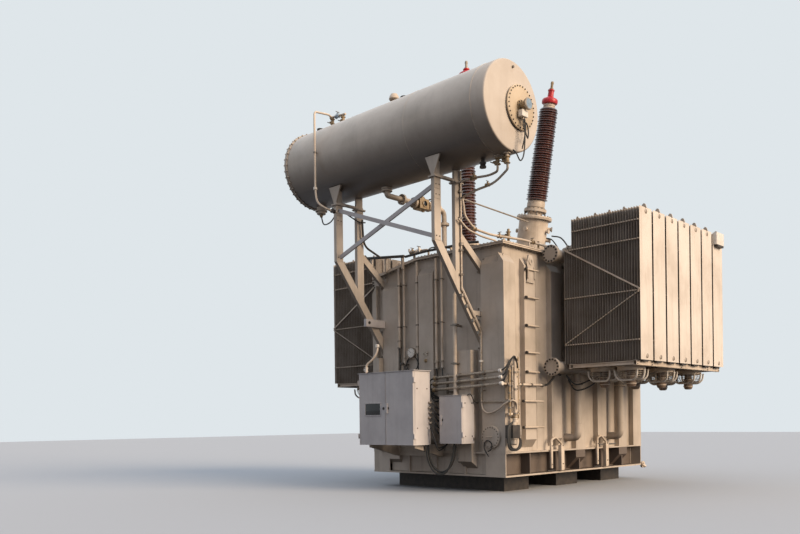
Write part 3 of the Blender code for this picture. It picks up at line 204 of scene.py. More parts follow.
paintLook = {"colour": "#bcb1a4", "shadow": "#aba092", "light": "#c8beb1", "stain": "#75675a",
    "streaks": 0.3, "cloudsPerMetre": 1.6, "roughness": 0.5}
finLook = {"colour": "#8f857a", "shadow": "#786d61", "light": "#9c9287", "stain": "#51453a",
    "streaks": 0.5, "cloudsPerMetre": 2.2, "roughness": 0.55, "edge": "#d9cdbf"}
faceLook = {"colour": "#d8cfc4", "shadow": "#c6bbae", "light": "#e2dad0", "stain": "#93836f",
    "streaks": 0.3, "cloudsPerMetre": 1.1, "roughness": 0.5}
greyLook = {"colour": "#bfbbba", "shadow": "#b0acac", "light": "#c9c5c3", "stain": "#857d78",
    "streaks": 0.2, "cloudsPerMetre": 1.8, "roughness": 0.42}
paleLook = {"colour": "#cdbfae", "shadow": "#b5a693", "light": "#dcd0c0", "stain": "#7d6b5a",
    "streaks": 0.3, "cloudsPerMetre": 3.0, "roughness": 0.45}
drumLook = {**paintLook, "underShade": 0.9, "streaks": 0.12, "roughness": 0.4, "gloss": 0.6}
headLook = {**paintLook, "colour": "#c3b9ad", "shadow": "#b9aea1", "light": "#cbc2b7", "streaks": 0.1}
lidLook = {**paintLook, "colour": "#c2b096", "shadow": "#b09e84", "light": "#cfbfa6", "streaks": 0.12}
glazeLook = {"colour": "#54261a", "shadow": "#2c1009", "dust": 0.16, "dustColour": "#9a8878"}

# alkyd paint over steel, a satin coat that dust and rain have dulled
bodyPaint = weatheredPaintWithShade("warmGreyTankPaint", paintLook)
# the base also gets painted shade in the recess under its ledge
basePaint = weatheredPaintWithShade("baseRecessShadePaint", {**paintLook, "recess": (0.31, 0.69, 1.25)})
# the drum gets a stronger painted shade on its underside
drumPaint = weatheredPaintWithShade("underShadedDrumPaint", drumLook)  # smoother rolled plate, dark below
headPaint = weatheredPaintWithShade("smoothDrumEndPaint", headLook)
lidPaint = weatheredPaintWithShade("beigeLidPaint", lidLook)
finPaint = weatheredPaintWithShade("shadedRadiatorFinPaint", finLook)  # painted shade on the inner fins; their pale narrow sides are a painted highlight
facePaint = weatheredPaintWithShade("litRadiatorFacePaint", faceLook)  # painted light: the outermost fin is paler, as it takes the light
cabinetPaint = weatheredPaintWithShade("coolGreyCabinetPaint", greyLook)  # powder coat, even and cooler
palePaint = weatheredPaintWithShade("paleTrayPaint", paleLook)
porcelain = glazedPorcelain("brownGlazedPorcelain", glazeLook)
# enamels are even and a little glossy, zinc is a dull grey metal with spangles, rubber is matt
capRed = plainFinish("redEnamelledCap", "#c41420", "#a00f18", 0.35)
boltSteel = plainFinish("zincPlatedBolts", "#8d857c", "#5f564d", 0.45, 0.7, 90)
galvanised = plainFinish("galvanisedConduit", "#a89d90", "#867a6d", 0.5, 0.5, 40)
cableRubber = plainFinish("blackCableSheath", "#1c1a18", "#100f0e", 0.6)
darkSteel = plainFinish("oiledDarkSteel", "#3a332d", "#221d19", 0.6, 0.0, 12)
relayGold = plainFinish("ochreRelayEnamel", "#a08a68", "#7d6a4f", 0.45)
motorPaint = plainFinish("greyBrownMotorEnamel", "#7b6652", "#554435", 0.5)
gaugeBlue = plainFinish("blueGreyGaugeFace", "#8fa3b3", "#75899b", 0.2)
labelWhite = plainFinish("whiteEnamelPlate", "#e6e1d8", "#cfc8bd", 0.4)
darkGlass = plainFinish("darkWindowGlass", "#14171a", "#0b0d0f", 0.08)
print("materials made")


def newObject(name, mesh):
    obj = bpy.data.objects.new(name, mesh)
    bpy.context.scene.collection.objects.link(obj)
    return obj


def fromBmesh(name, shape, material, angle=35):
    mesh = bpy.data.meshes.new(name)
    shape.to_mesh(mesh)
    shape.free()
    mesh.materials.append(material)
    if angle:
        mesh.shade_smooth()
        mesh.set_sharp_from_angle(angle=math.radians(angle))
    return newObject(name, mesh)


def turnedTo(axis):
    return Vector(axis).normalized().to_track_quat("Z", "Y").to_matrix().to_4x4()


def block(one, two, material, bevel=0.004):  # a box between two opposite corners
    low, high = Vector(map(min, one, two)), Vector(map(max, one, two))
    shape = bmesh.new()
    bmesh.ops.create_cube(shape, size=1.0)
    matrix = Matrix.Translation((low + high) / 2) @ Matrix.Diagonal((*(high - low), 1))
    bmesh.ops.transform(shape, matrix=matrix, verts=shape.verts)
    if bevel:
        bmesh.ops.bevel(shape, geom=list(shape.edges), offset=bevel, segments=2, profile=0.7,
            affect="EDGES")
    return fromBmesh("block", shape, material)


def rimBlocks(faces, edges, width, material, bevel, butt=0):  # a frame of four bars in a plane of x
    (front, back), (low, high, bottom, top) = faces, edges
    bars = [(low, bottom, high, bottom + width), (low, top - width, high, top),
        (low, bottom + butt, low + width, top - butt), (high - width, bottom + butt, high, top - butt)]
    return [block((front, a, b), (back, c, d), material, bevel) for a, b, c, d in bars]


def lathe(profile, start, axis, material, steps=32):
    # turns (radius, distance) pairs round the axis from start
    shape = bmesh.new()
    rings = []
    for radius, distance in profile:
        if radius == 0:
            rings += [[shape.verts.new((0, 0, distance))]]
        else:
            rings += [[shape.verts.new((radius * math.cos(a), radius * math.sin(a), distance))
                for a in (2 * math.pi * i / steps for i in range(steps))]]
    for one, two in zip(rings, rings[1:]):
        for i in range(steps):
            j = (i + 1) % steps
            if len(one) == 1 and len(two) == 1:
                continue
            if len(one) == 1:
                shape.faces.new((one[0], two[j], two[i]))
            elif len(two) == 1:
                shape.faces.new((one[i], one[j], two[0]))
            else:
                shape.faces.new((one[i], one[j], two[j], two[i]))
    bmesh.ops.recalc_face_normals(shape, faces=shape.faces)
    turn = turnedTo(axis)
    bmesh.ops.transform(shape, matrix=Matrix.Translation(Vector(start)) @ turn, verts=shape.verts)
    return fromBmesh("lathe", shape, material)


def disc(radius, height, start, axis, material, steps=32):
    return lathe([(0, 0), (radius, 0), (radius, height), (0, height)], start, axis, material, steps)


def collar(inner, outer, height, start, axis, material, steps=32):
    return lathe([(inner, 0), (outer, 0), (outer, height), (inner, height)], start, axis, material, steps)


def clampRing(inner, outer, half, middle, axis, material, steps=32):
    profile = [(inner, -half), (outer, -half), (outer, half), (inner, half)]
    return lathe(profile, middle, axis, material, steps)


def bar(start, end, radius, material, sides=16):
    length = (Vector(end) - Vector(start)).length
    chamfer = min(radius * 0.15, length * 0.2)
    profile = [(0, 0), (radius - chamfer, 0), (radius, chamfer), (radius, length - chamfer),
        (radius - chamfer, length), (0, length)]
    return lathe(profile, start, Vector(end) - Vector(start), material, sides)


def post(x, y, low, high, radius, material, sides=16):  # an upright bar
    return bar((x, y, low), (x, y, high), radius, material, sides)


def extruded(outline, low, high, axis, material, bevel=0.0):
    # outline pairs are (y, z), (x, z) or (x, y) for axis x, y and z
    shape = bmesh.new()
    places = {"x": lambda a, b: (low, a, b), "y": lambda a, b: (a, low, b), "z": lambda a, b: (a, b, low)}
    face = shape.faces.new([shape.verts.new(places[axis](a, b)) for a, b in outline])
    grown = bmesh.ops.extrude_face_region(shape, geom=[face])
    moved = [v for v in grown["geom"] if isinstance(v, bmesh.types.BMVert)]
    shift = Vector((0, 0, 0))
    shift["xyz".index(axis)] = high - low
    bmesh.ops.translate(shape, vec=shift, verts=moved)
    bmesh.ops.recalc_face_normals(shape, faces=shape.faces)
    if bevel:
        bmesh.ops.bevel(shape, geom=list(shape.edges), offset=bevel, segments=2, profile=0.7,
            affect="EDGES")
    return fromBmesh("plate", shape, material)


def rounded(points, radius, steps=5):
    # fillets the corners of a route
    points = [Vector(p) for p in points]
    route = [points[0]]
    for before, corner, after in zip(points, points[1:], points[2:]):
        one, two = before - corner, after - corner
        reach = min(radius, one.length * 0.45, two.length * 0.45)
        start, end = corner + one.normalized() * reach, corner + two.normalized() * reach
        for i in range(steps + 1):
            t = i / steps
            route += [start.lerp(corner, t).lerp(corner.lerp(end, t), t)]
    return route + [points[-1]]


def pipe(points, radius, material, bend=None, sides=10):
    route = rounded(points, bend) if bend else [Vector(p) for p in points]
    curve = bpy.data.curves.new("pipe", "CURVE")
    curve.dimensions = "3D"
    curve.bevel_depth = radius
    curve.bevel_resolution = max(0, sides // 2 - 2)
    curve.use_fill_caps = True
    spline = curve.splines.new("POLY")
    spline.points.add(len(route) - 1)
    for point, place in zip(spline.points, route):
        point.co = (*place, 1)
    obj = newObject("pipe", curve)
    mesh = bpy.data.meshes.new_from_object(obj.evaluated_get(bpy.context.evaluated_depsgraph_get()))
    bpy.data.objects.remove(obj)
    shape = bmesh.new()
    shape.from_mesh(mesh)
    bmesh.ops.remove_doubles(shape, verts=shape.verts, dist=0.0002)
    return fromBmesh("pipe", shape, material)


def smoothRoute(points, count=8):  # a Catmull-Rom curve through the points
    points = [Vector(p) for p in points]
    ends = [points[0] * 2 - points[1]] + points + [points[-1] * 2 - points[-2]]
    route = []
    for a, b, c, d in zip(ends, ends[1:], ends[2:], ends[3:]):
        for i in range(count):
            t = i / count
            route += [0.5 * ((2 * b) + (c - a) * t + (2 * a - 5 * b + 4 * c - d) * t * t
                + (3 * b - a - 3 * c + d) * t ** 3)]
    return route + [points[-1]]


def cable(points, radius, sides=8):
    return pipe(smoothRoute(points), radius, cableRubber, None, sides)


def join(name, parts, body="body", replaced=()):
    shape = bmesh.new()
    materials = []
    for part in parts:
        mesh = part.data
        mesh.transform(part.matrix_basis)
        start = len(shape.faces)
        shape.from_mesh(mesh)
        shape.faces.ensure_lookup_table()
        slots = []
        for material in mesh.materials:
            if material not in materials:
                materials += [material]
            slots += [materials.index(material)]
        for face in shape.faces[start:]:
            face.material_index = slots[face.material_index]
        bpy.data.objects.remove(part)
    mesh = bpy.data.meshes.new(name)
    shape.to_mesh(mesh)
    shape.free()
    for material in materials:
        mesh.materials.append(material)
    obj = newObject(name, mesh)
    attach(obj, body)
    if replaced:
        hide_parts(*replaced)
    return obj


def newTree(name, inputs):
    tree = bpy.data.node_groups.new(name, "GeometryNodeTree")
    tree.interface.new_socket("Geometry", in_out="INPUT", socket_type="NodeSocketGeometry")
    for label, kind in inputs:
        tree.interface.new_socket(label, in_out="INPUT", socket_type="NodeSocket" + kind)
    tree.interface.new_socket("Geometry", in_out="OUTPUT", socket_type="NodeSocketGeometry")
    return tree, addNode(tree, "NodeGroupInput"), addNode(tree, "NodeGroupOutput")


def closeTree(tree, given, out, geometry):
    real = addNode(tree, "GeometryNodeRealizeInstances", {}, {"Geometry": geometry})
    coat = addNode(tree, "GeometryNodeSetMaterial", {}, {"Geometry": real.outputs["Geometry"],
        "Material": given.outputs["Material"]})
    tree.links.new(coat.outputs["Geometry"], out.inputs["Geometry"])


def makeRowTree():
    tree, given, out = newTree("copiesInARow", [("Count", "Int"), ("Start", "Vector"), ("Step", "Vector"),
        ("Source", "Object"), ("Material", "Material")])
    line = addNode(tree, "GeometryNodeMeshLine", {"mode": "OFFSET"},
        {"Count": given.outputs["Count"], "Start Location": given.outputs["Start"],
        "Offset": given.outputs["Step"]})
    source = addNode(tree, "GeometryNodeObjectInfo", {"transform_space": "ORIGINAL"},
        {"Object": given.outputs["Source"]})
    copies = addNode(tree, "GeometryNodeInstanceOnPoints", {},
        {"Points": line.outputs["Mesh"], "Instance": source.outputs["Geometry"]})
    closeTree(tree, given, out, copies.outputs["Instances"])
    return tree


def makeRingTree():
    tree, given, out = newTree("copiesInARing", [("Count", "Int"), ("Radius", "Float"),
        ("Source", "Object"), ("Material", "Material")])
    ring = addNode(tree, "GeometryNodeMeshCircle", {}, {"Vertices": given.outputs["Count"],
        "Radius": given.outputs["Radius"]})
    source = addNode(tree, "GeometryNodeObjectInfo", {"transform_space": "ORIGINAL"},
        {"Object": given.outputs["Source"]})
    place = addNode(tree, "GeometryNodeInputPosition")
    turn = addNode(tree, "FunctionNodeAlignRotationToVector", {"axis": "X"},
        {"Vector": place.outputs["Position"]})
    copies = addNode(tree, "GeometryNodeInstanceOnPoints", {},
        {"Points": ring.outputs["Mesh"], "Instance": source.outputs["Geometry"],
        "Rotation": turn.outputs["Rotation"]})
    closeTree(tree, given, out, copies.outputs["Instances"])
    return tree


rowTree = makeRowTree()
ringTree = makeRingTree()


def grown(tree, values, name, place=None):  # runs a tree once and keeps the plain mesh
    obj = newObject(name, bpy.data.meshes.new(name))
    modifier = obj.modifiers.new("copies", "NODES")
    modifier.node_group = tree
    for item in tree.interface.items_tree:
        if item.in_out == "INPUT" and item.name in values:
            modifier[item.identifier] = values[item.name]
    deps = bpy.context.evaluated_depsgraph_get()
    mesh = bpy.data.meshes.new_from_object(obj.evaluated_get(deps), depsgraph=deps)
    bpy.data.objects.remove(obj)
    if place is not None:
        mesh.transform(place)
    return newObject(name, mesh)


def inARow(source, start, step, count, material):
    return grown(rowTree, {"Count": count, "Start": tuple(start), "Step": tuple(step), "Source": source,
        "Material": material}, "row")


def inARing(source, radius, count, centre, axis, material):
    turn = turnedTo(axis)
    return grown(ringTree, {"Count": count, "Radius": radius, "Source": source, "Material": material},
        "ring", Matrix.Translation(Vector(centre)) @ turn)


def boltShape(size, height, material):  # a hexagon head on a washer, standing along +Z
    profile = [(0, height), (size * 0.42, height), (size * 0.5, height * 0.8), (size * 0.5, height * 0.2)]
    head = lathe(profile + [(0, height * 0.2)], (0, 0, 0), upward, material, 6)
    washer = lathe([(0, height * 0.22), (size * 0.62, height * 0.22), (size * 0.62, 0), (0, 0)], (0, 0, 0),
        upward, material, 10)
    shape = bmesh.new()
    for part in (head, washer):
        shape.from_mesh(part.data)
        bpy.data.objects.remove(part)
    return fromBmesh("bolt", shape, material)


bolts = {"large": boltShape(0.05, 0.035, boltSteel), "small": boltShape(0.03, 0.022, boltSteel),
    "tiny": boltShape(0.02, 0.014, boltSteel)}


def boltRing(size, radius, count, centre, axis, metal=boltSteel):
    return inARing(bolts[size], radius, count, centre, axis, metal)


def boltRow(size, start, end, count, axis):
    start, end = Vector(start), Vector(end)
    turn = turnedTo(axis)
    source = newObject("turnedBolt", bolts[size].data.copy())
    source.data.transform(turn)
    row = inARow(source, start, (end - start) / (count - 1), count, boltSteel)
    bpy.data.objects.remove(source)
    return row


print("tools ready")


cadLooks = {"bearer": darkSteel, "control_cabinet": cabinetPaint, "marshalling_box": cabinetPaint,
    "breather_pipe": galvanised, "cable_conduit": palePaint, "hand_hole_cover": bodyPaint,
    "brace": cabinetPaint, "oil_pipe": palePaint, "base_frame": basePaint, "tank_cover": palePaint,
    "upright_bushing_turret": palePaint}
for nodeName, node in nodes.items():
    look = next((m for start, m in cadLooks.items() if nodeName.startswith(start)), bodyPaint)
    node.data.materials.clear()
    node.data.materials.append(look)
    for polygon in node.data.polygons:
        polygon.material_index = 0
print("CAD finishes set")


bank = {"width": 0.438, "pitch": 0.494, "count": 7, "fins": 30, "finPitch": 0.0512, "bottom": 2.2772,
    "top": 4.887, "shortTop": 4.347, "shortFins": 3, "inner": 1.935, "farDrop": 0.15,
    "starts": {"near": -1.004, "far": -1.85}, "pinLevels": (2.619, 3.458, 4.332, 4.655), "pin": 0.0055,
    "header": 0.034, "lugFins": (5, 12, 17.5, 23), "stubLevel": 4.41}
panel = {"seam": 0.0015, "full": 0.007, "groove": 0.0035, "edge": 0.012, "shoulder": 0.022, "flutes": 5,
    "flat": 0.035, "taper": 0.075}


def finMesh(low, high):
    # one pressed panel: a welded edge all round, flutes down it, tapered into flat ends
    width, edge, shoulder = bank["width"], panel["edge"], panel["shoulder"]
    seam, full, groove = panel["seam"], panel["full"], panel["groove"]
    stations = [(0, seam), (edge, seam), (shoulder, full)]
    flute = (width - 2 * shoulder) / panel["flutes"]
    for i in range(1, panel["flutes"]):
        x = shoulder + flute * i
        stations += [(x - 0.009, full), (x, groove), (x + 0.009, full)]
    stations += [(width - shoulder, full), (width - edge, seam), (width, seam)]
    flat, taper = panel["flat"], panel["taper"]
    levels = [(low, 0.0), (low + flat, 0.0), (low + taper, 1.0), (high - taper, 1.0), (high - flat, 0.0),
        (high, 0.0)]
    shape = bmesh.new()
    rings = []
    for z, swell in levels:
        ring = [shape.verts.new((x, -(seam + (half - seam) * swell), z)) for x, half in stations]
        ring += [shape.verts.new((x, seam + (half - seam) * swell, z)) for x, half in reversed(stations)]
        rings += [ring]
    for one, two in zip(rings, rings[1:]):
        for i in range(len(one)):
            j = (i + 1) % len(one)
            shape.faces.new((one[i], one[j], two[j], two[i]))
    shape.faces.new(list(reversed(rings[0])))
    shape.faces.new(rings[-1])
    return fromBmesh("fin", shape, finPaint, 40)


finTall = finMesh(bank["bottom"], bank["top"])
finShort = finMesh(bank["bottom"], bank["shortTop"])


def placedOn(parts, place):
    for part in parts:
        part.data.transform(place)
    return parts


def lugShape(place, size, thickness):  # a lifting ear on its edge
    x, y, z = place
    plate = [(-0.6, 0), (0.6, 0), (0.34, 0.8), (0, 1), (-0.34, 0.8)]
    outline = [(y + a * size, z + b * size) for a, b in plate]
    return extruded(outline, x - thickness / 2, x + thickness / 2, "x", palePaint, 0.002)


def radiatorPiece(side, outward, index):
    start = bank["starts"][side] + index * bank["pitch"]
    middle, end = start + bank["width"] / 2, start + bank["width"]
    top, bottom, short, fins = bank["top"], bank["bottom"], bank["shortFins"], bank["fins"]
    step = outward * bank["finPitch"]
    first = outward * (bank["inner"] + 0.008)
    firstTall, last = first + short * step, first + (fins - 1) * step
    parts = [
        inARow(finShort, (start, first, 0), (0, step, 0), short, finPaint),
        inARow(finTall, (start, firstTall, 0), (0, step, 0), fins - short - 1, finPaint),
        inARow(finTall, (start, last, 0), (0, step, 0), 1, facePaint)]
    for z, y in ((top - 0.07, firstTall), (bottom + 0.07, first)):  # headers through the fins
        parts += [
            bar((middle, y - outward * 0.012, z), (middle, last, z), bank["header"], finPaint, 16),
            lathe([(0.04, 0), (0.04, 0.012), (0.03, 0.018), (0, 0.018)], (middle, last, z),
                (0, outward, 0), finPaint, 16)]
    y, z = outward * bank["inner"], bank["stubLevel"]
    parts += [
        bar((middle, y, z), (middle, y + outward * 0.15, z), 0.038, finPaint, 16),
        post(middle, firstTall - outward * 0.03, z - 0.02, top - 0.05, 0.036, finPaint, 14),
        *[lugShape((start + 0.05, first + fin * step, top - 0.006), 0.05, 0.012)
            for fin in bank["lugFins"]],
        lugShape((middle, last - step * 0.5, top - 0.01), 0.085, 0.016),
        post(middle + 0.09, last - step, top - 0.01, top + 0.035, 0.014, boltSteel, 10)]
    clip = block((-0.013, -0.006, -0.012), (0.013, 0.006, 0.012), palePaint, 0.002)
    for z in bank["pinLevels"]:  # rows of spacer pins that hold the fins apart
        begin, count = (first, fins) if z < bank["shortTop"] else (firstTall, fins - short)
        for x in (start - 0.006, end + 0.006):
            parts += [bar((x, begin, z), (x, last, z), bank["pin"], galvanised, 6)]
        for x in (start - 0.004, end + 0.004):
            parts += [inARow(clip, (x, begin + step / 2, z), (0, step, 0), count - 1, palePaint)]
    if index == 0:  # braces over the outer face of the first radiator
        x, count = start - 0.02, fins - 1
        strap = [(first - outward * 0.01, 4.375), (first - outward * 0.01, 4.345), (last, 3.462),
            (last, 3.492)]
        parts += [
            extruded(strap, x - 0.004, x + 0.004, "x", palePaint, 0.001),
            bar((x, first, 2.625), (x, last, 3.45), 0.006, galvanised, 6),
            inARow(clip, (x + 0.006, first + step / 2, 2.625 + 0.41 / count), (0, step, 0.825 / count),
                count, palePaint)]
    for y in (first + 3 * step, last - 0.12 * outward):  # feet on the tray
        parts += [block((middle - 0.09, y, bottom - 0.028),
            (middle + 0.09, y + outward * 0.1, bottom + 0.03), darkSteel, 0.004)]
    bpy.data.objects.remove(clip)
    if side == "near" and index == bank["count"] - 1:  # junction box on the last radiator's outer face
        parts += [
            block((start + 0.02, last - 0.075, 4.66), (start + 0.36, last - 0.008, 4.9), labelWhite, 0.008),
            block((start + 0.05, last - 0.082, 4.62), (start + 0.33, last - 0.006, 4.66), darkSteel, 0.004)]
    if side == "far":
        placedOn(parts, Matrix.Translation((0, 0, -bank["farDrop"])))
    join(side + "Radiator" + str(index + 1), parts, replaced=(side + "_radiator_" + str(index + 1),))


for index in range(bank["count"]):
    radiatorPiece("near", -1, index)
    radiatorPiece("far", 1, index)
print("radiators built")


sheds = {"lean": {"place": (-0.24, -0.615, 4.3806), "angle": 10.2, "bottom": 1.25, "length": 1.76,
    "radius": 0.214, "core": 0.182, "count": 40, "top": 0.86},
    "upright": {"place": (-1.36, 0, 4.3806), "angle": 0, "bottom": 0.34, "length": 3.24, "radius": 0.168,
    "core": 0.138, "count": 56, "top": 0.88}}


def footOf(look):  # where a bushing stands and how it leans
    return Matrix.Translation(look["place"]) @ Matrix.Rotation(math.radians(look["angle"]), 4, "X")


def aside(degrees, reach, z):  # a point beside the axis, in a direction
    turn = math.radians(degrees)
    return Vector((reach * math.cos(turn), reach * math.sin(turn), z))


def shedRows(look):  # porcelain from the bottom up, tapering, with a rounded lip under each shed
    pitch = look["length"] / look["count"]
    radius, core = look["radius"], look["core"]
    profile = [(0, 0), (core, 0)]
    for i in range(look["count"]):
        reach = radius if i % 2 == 0 else radius - 0.012
        z = i * pitch
        profile += [(core, z + pitch * 0.12), (core + (reach - core) * 0.3, z + pitch * 0.24),
            (reach - 0.006, z + pitch * 0.3), (reach, z + pitch * 0.38), (reach - 0.002, z + pitch * 0.5),
            (core + (reach - core) * 0.35, z + pitch * 0.8), (core + 0.004, z + pitch * 0.94)]
    profile += [(core, look["length"]), (0, look["length"])]
    return [(r * (1 - (1 - look["top"]) * z / look["length"]), z) for r, z in profile]


def ribbedRing(radius, low, high, count, material):  # a collar of cement groove and ribs
    profile = [(0, low)]
    step = (high - low) / count
    for i in range(count):
        z = low + i * step
        profile += [(radius, z + step * 0.05), (radius, z + step * 0.7), (radius * 0.93, z + step * 0.8),
            (radius * 0.93, z + step)]
    return lathe(profile + [(0, high)], (0, 0, 0), upward, material, 48)


def capParts(bottom, ring, neckHeight):
    parts = []
    z = bottom
    if ring:
        parts += [
            ribbedRing(0.115, z, z + 0.09, 2, palePaint),
            boltRing("tiny", 0.1, 8, (0, 0, z + 0.088), upward)]
        z += 0.09
    profile = [(0, z), (0.13, z), (0.15, z + 0.012), (0.155, z + 0.04), (0.153, z + 0.075),
        (0.135, z + 0.1), (0.098, z + 0.115), (0.075, z + 0.128), (0.058, z + 0.145),
        (0.054, z + 0.13 + neckHeight - 0.035), (0.064, z + 0.13 + neckHeight - 0.03),
        (0.064, z + 0.13 + neckHeight - 0.008), (0.05, z + 0.13 + neckHeight), (0, z + 0.13 + neckHeight)]
    parts += [lathe(profile, (0, 0, 0), upward, capRed, 48)]
    z += 0.13 + neckHeight
    stem = [(0, z - 0.01), (0.042, z - 0.01), (0.042, z + 0.018), (0.025, z + 0.024), (0.025, z + 0.1),
        (0.03, z + 0.104), (0.03, z + 0.132), (0.022, z + 0.15), (0, z + 0.15)]
    parts += [lathe(stem, (0, 0, 0), upward, relayGold if ring else galvanised, 20)]
    return parts


def bushing(name, ring, neck):  # the porcelain and the cap, which both kinds have
    look = sheds[name]
    foot, full = footOf(look), {"lean": "leaning", "upright": "upright"}[name]
    body = lathe(shedRows(look), (0, 0, look["bottom"]), upward, porcelain, 48)
    cap = capParts(look["bottom"] + look["length"], ring, neck)
    join(full + "Porcelain", placedOn([body], foot),
        replaced=(full + "_bushing_porcelain",))
    join(full + "Cap", placedOn(cap, foot), replaced=(full + "_bushing_cap",))
    return foot


def leaningBushing():
    foot = bushing("lean", True, 0.15)
    profile = [(0, -0.05), (0.287, -0.05), (0.287, 0.87), (0.345, 0.87), (0.348, 0.88), (0.348, 0.898),
        (0.34, 0.9), (0.348, 0.902), (0.348, 0.92), (0.345, 0.93), (0.15, 0.93), (0.15, 1.03),
        (0.222, 1.03), (0.222, 1.08), (0.168, 1.08), (0.168, 1.11), (0.176, 1.12), (0.176, 1.2),
        (0.168, 1.235), (0.16, 1.249), (0, 1.249)]
    turret = [lathe(profile, (0, 0, 0), upward, palePaint, 72)]
    join("leaningTurret", placedOn(turret, foot), replaced=("leaning_bushing_turret",))
    parts = [boltRing("small", radius, count, (0, 0, z), axis) for radius, count, z,
        axis in ((0.19, 14, 1.081, upward), (0.19, 14, 1.029, downward), (0.318, 24, 0.931, upward),
        (0.318, 24, 0.888, downward))]
    for turn in (45, 135, 225, 315):  # studs between the turret's flange and the bushing's
        parts += [bar(aside(turn, 0.2, 0.93), aside(turn, 0.2, 1.03), 0.014, boltSteel, 10)]
    for turn in (-80, 10, 100, 190):  # plugs on the turret
        parts += [
            bar(aside(turn, 0.27, 0.66), aside(turn, 0.345, 0.66), 0.03, palePaint, 16),
            disc(0.042, 0.016, aside(turn, 0.338, 0.66), aside(turn, 1, 0), palePaint, 16)]
    for z in (0.72, 0.5):  # two valves on its near side
        parts += [
            bar(aside(-62, 0.27, z), aside(-62, 0.37, z), 0.034, palePaint, 16),
            disc(0.05, 0.02, aside(-62, 0.36, z), aside(-62, 1, 0), galvanised, 16)]
    join("leaningBushingFittings", placedOn(parts, foot))


def uprightBushing():
    foot = bushing("upright", False, 0.06)
    sleeve = [(0.15, 0.15), (0.165, 0.16), (0.165, 0.27), (0.15, 0.28)]
    parts = [
        boltRing("small", 0.19, 14, (0, 0, 0.34), upward),
        boltRing("small", 0.205, 16, (0, 0, 0.145), upward),
        lathe(sleeve, (0, 0, 0), upward, palePaint, 40)]
    for turn in (200, 290):
        parts += [bar(aside(turn, 0.15, 0.215), aside(turn, 0.24, 0.215), 0.025, galvanised, 12)]
    join("uprightBushingFittings", placedOn(parts, foot))


leaningBushing()
uprightBushing()
print("bushings built")


drum = {"x": -3.15, "z": 6.28, "radius": 0.728, "near": -2.38, "seam": -2.1, "weld": -0.66,
    "flange": 2.455, "far": 2.515, "endRing": 0.744, "endBolts": 40, "knuckle": 0.03, "manhole": -2.98,
    "lid": 0.36, "lidBolts": 30}


def alongY(profile, x, z, material, steps=96):  # profile pairs are (radius, y)
    return lathe(profile, (x, 0, z), (0, 1, 0), material, steps)


def conservatorPieces():
    x, z, r = drum["x"], drum["z"], drum["radius"]
    near, seam, flange, far, weld = (drum[key] for key in ("near", "seam", "flange", "far", "weld"))
    bead = [(r - 0.002, weld - 0.0048), (r + 0.0018, weld - 0.0024), (r + 0.003, weld),
        (r + 0.0018, weld + 0.0024), (r - 0.002, weld + 0.0048)]
    shell = [alongY([(0, seam), (r, seam), (r, flange), (0, flange)], x, z, drumPaint),
        alongY(bead, x, z, bodyPaint),
        post(x, 2.3, 5.412, 5.6, 0.09, palePaint, 32),  # the sump with its drain, then the pipe's stub
        disc(0.12, 0.022, (x, 2.3, 5.47), upward, palePaint, 32),
        boltRing("tiny", 0.105, 10, (x, 2.3, 5.47), downward),
        post(x, 2.3, 5.36, 5.42, 0.03, relayGold, 16),
        post(x, 0.45, 5.522, 5.6, 0.1, palePaint, 32),
        boltRing("tiny", 0.08, 8, (x, 0.45, 5.5222), downward)]
    join("conservatorDrum", shell, replaced=("conservator_shell",))

    k, m = drum["knuckle"], drum["manhole"]
    dish = [(0, near - 0.012), (r * 0.5, near - 0.008), (r - k, near), (r - k * 0.45, near + k * 0.12),
        (r - k * 0.12, near + k * 0.45), (r, near + k), (r, seam), (0, seam)]
    lip = [(r - 0.001, seam - 0.012), (r + 0.006, seam - 0.004), (r + 0.006, seam + 0.004),
        (r - 0.001, seam + 0.012)]
    seat = [(0, near - 0.03), (0.335, near - 0.03), (0.335, near - 0.01), (0.345, near), (0, near)]
    head = [
        alongY(dish, x, z, headPaint),
        alongY(lip, x, z, bodyPaint),
        alongY(seat, m, z, bodyPaint),
        bar((x + 0.02, near - 0.03, z + 0.62), (x + 0.02, near + 0.01, z + 0.62), 0.02, boltSteel, 12)]
    join("conservatorHead", head, replaced=("conservator_head",))

    lid = drum["lid"]
    cover = [(0, near - 0.058), (lid - 0.015, near - 0.058), (lid, near - 0.05), (lid, near - 0.031),
        (0, near - 0.031)]
    gasket = [(0.352, near - 0.0305), (0.352, near - 0.027), (0.3, near - 0.027), (0.3, near - 0.0305)]
    parts = [
        alongY(cover, m, z, lidPaint),
        alongY(gasket, m, z, darkSteel),
        boltRing("tiny", lid - 0.025, drum["lidBolts"], (m, near - 0.058, z), (0, -1, 0), darkSteel)]
    join("manholeCover", parts, replaced=("manhole_cover",))

    ring, count = drum["endRing"], drum["endBolts"]
    dome = [(0, flange), (ring, flange), (ring, flange + 0.028), (ring - 0.004, flange + 0.03),
        (ring, flange + 0.032), (ring, far), (0.726, far + 0.002), (0.72, far + 0.02), (0.7, far + 0.05),
        (0.66, far + 0.078), (0.6, far + 0.098), (0.4, far + 0.108), (0, far + 0.11)]
    end = [
        alongY(dome, x, z, bodyPaint),
        boltRing("small", ring + 0.001, count, (x, flange, z), (0, -1, 0), bodyPaint),
        boltRing("small", ring - 0.009, count, (x, far, z), (0, 1, 0), bodyPaint)]
    join("conservatorEnd", end, replaced=("conservator_end",))


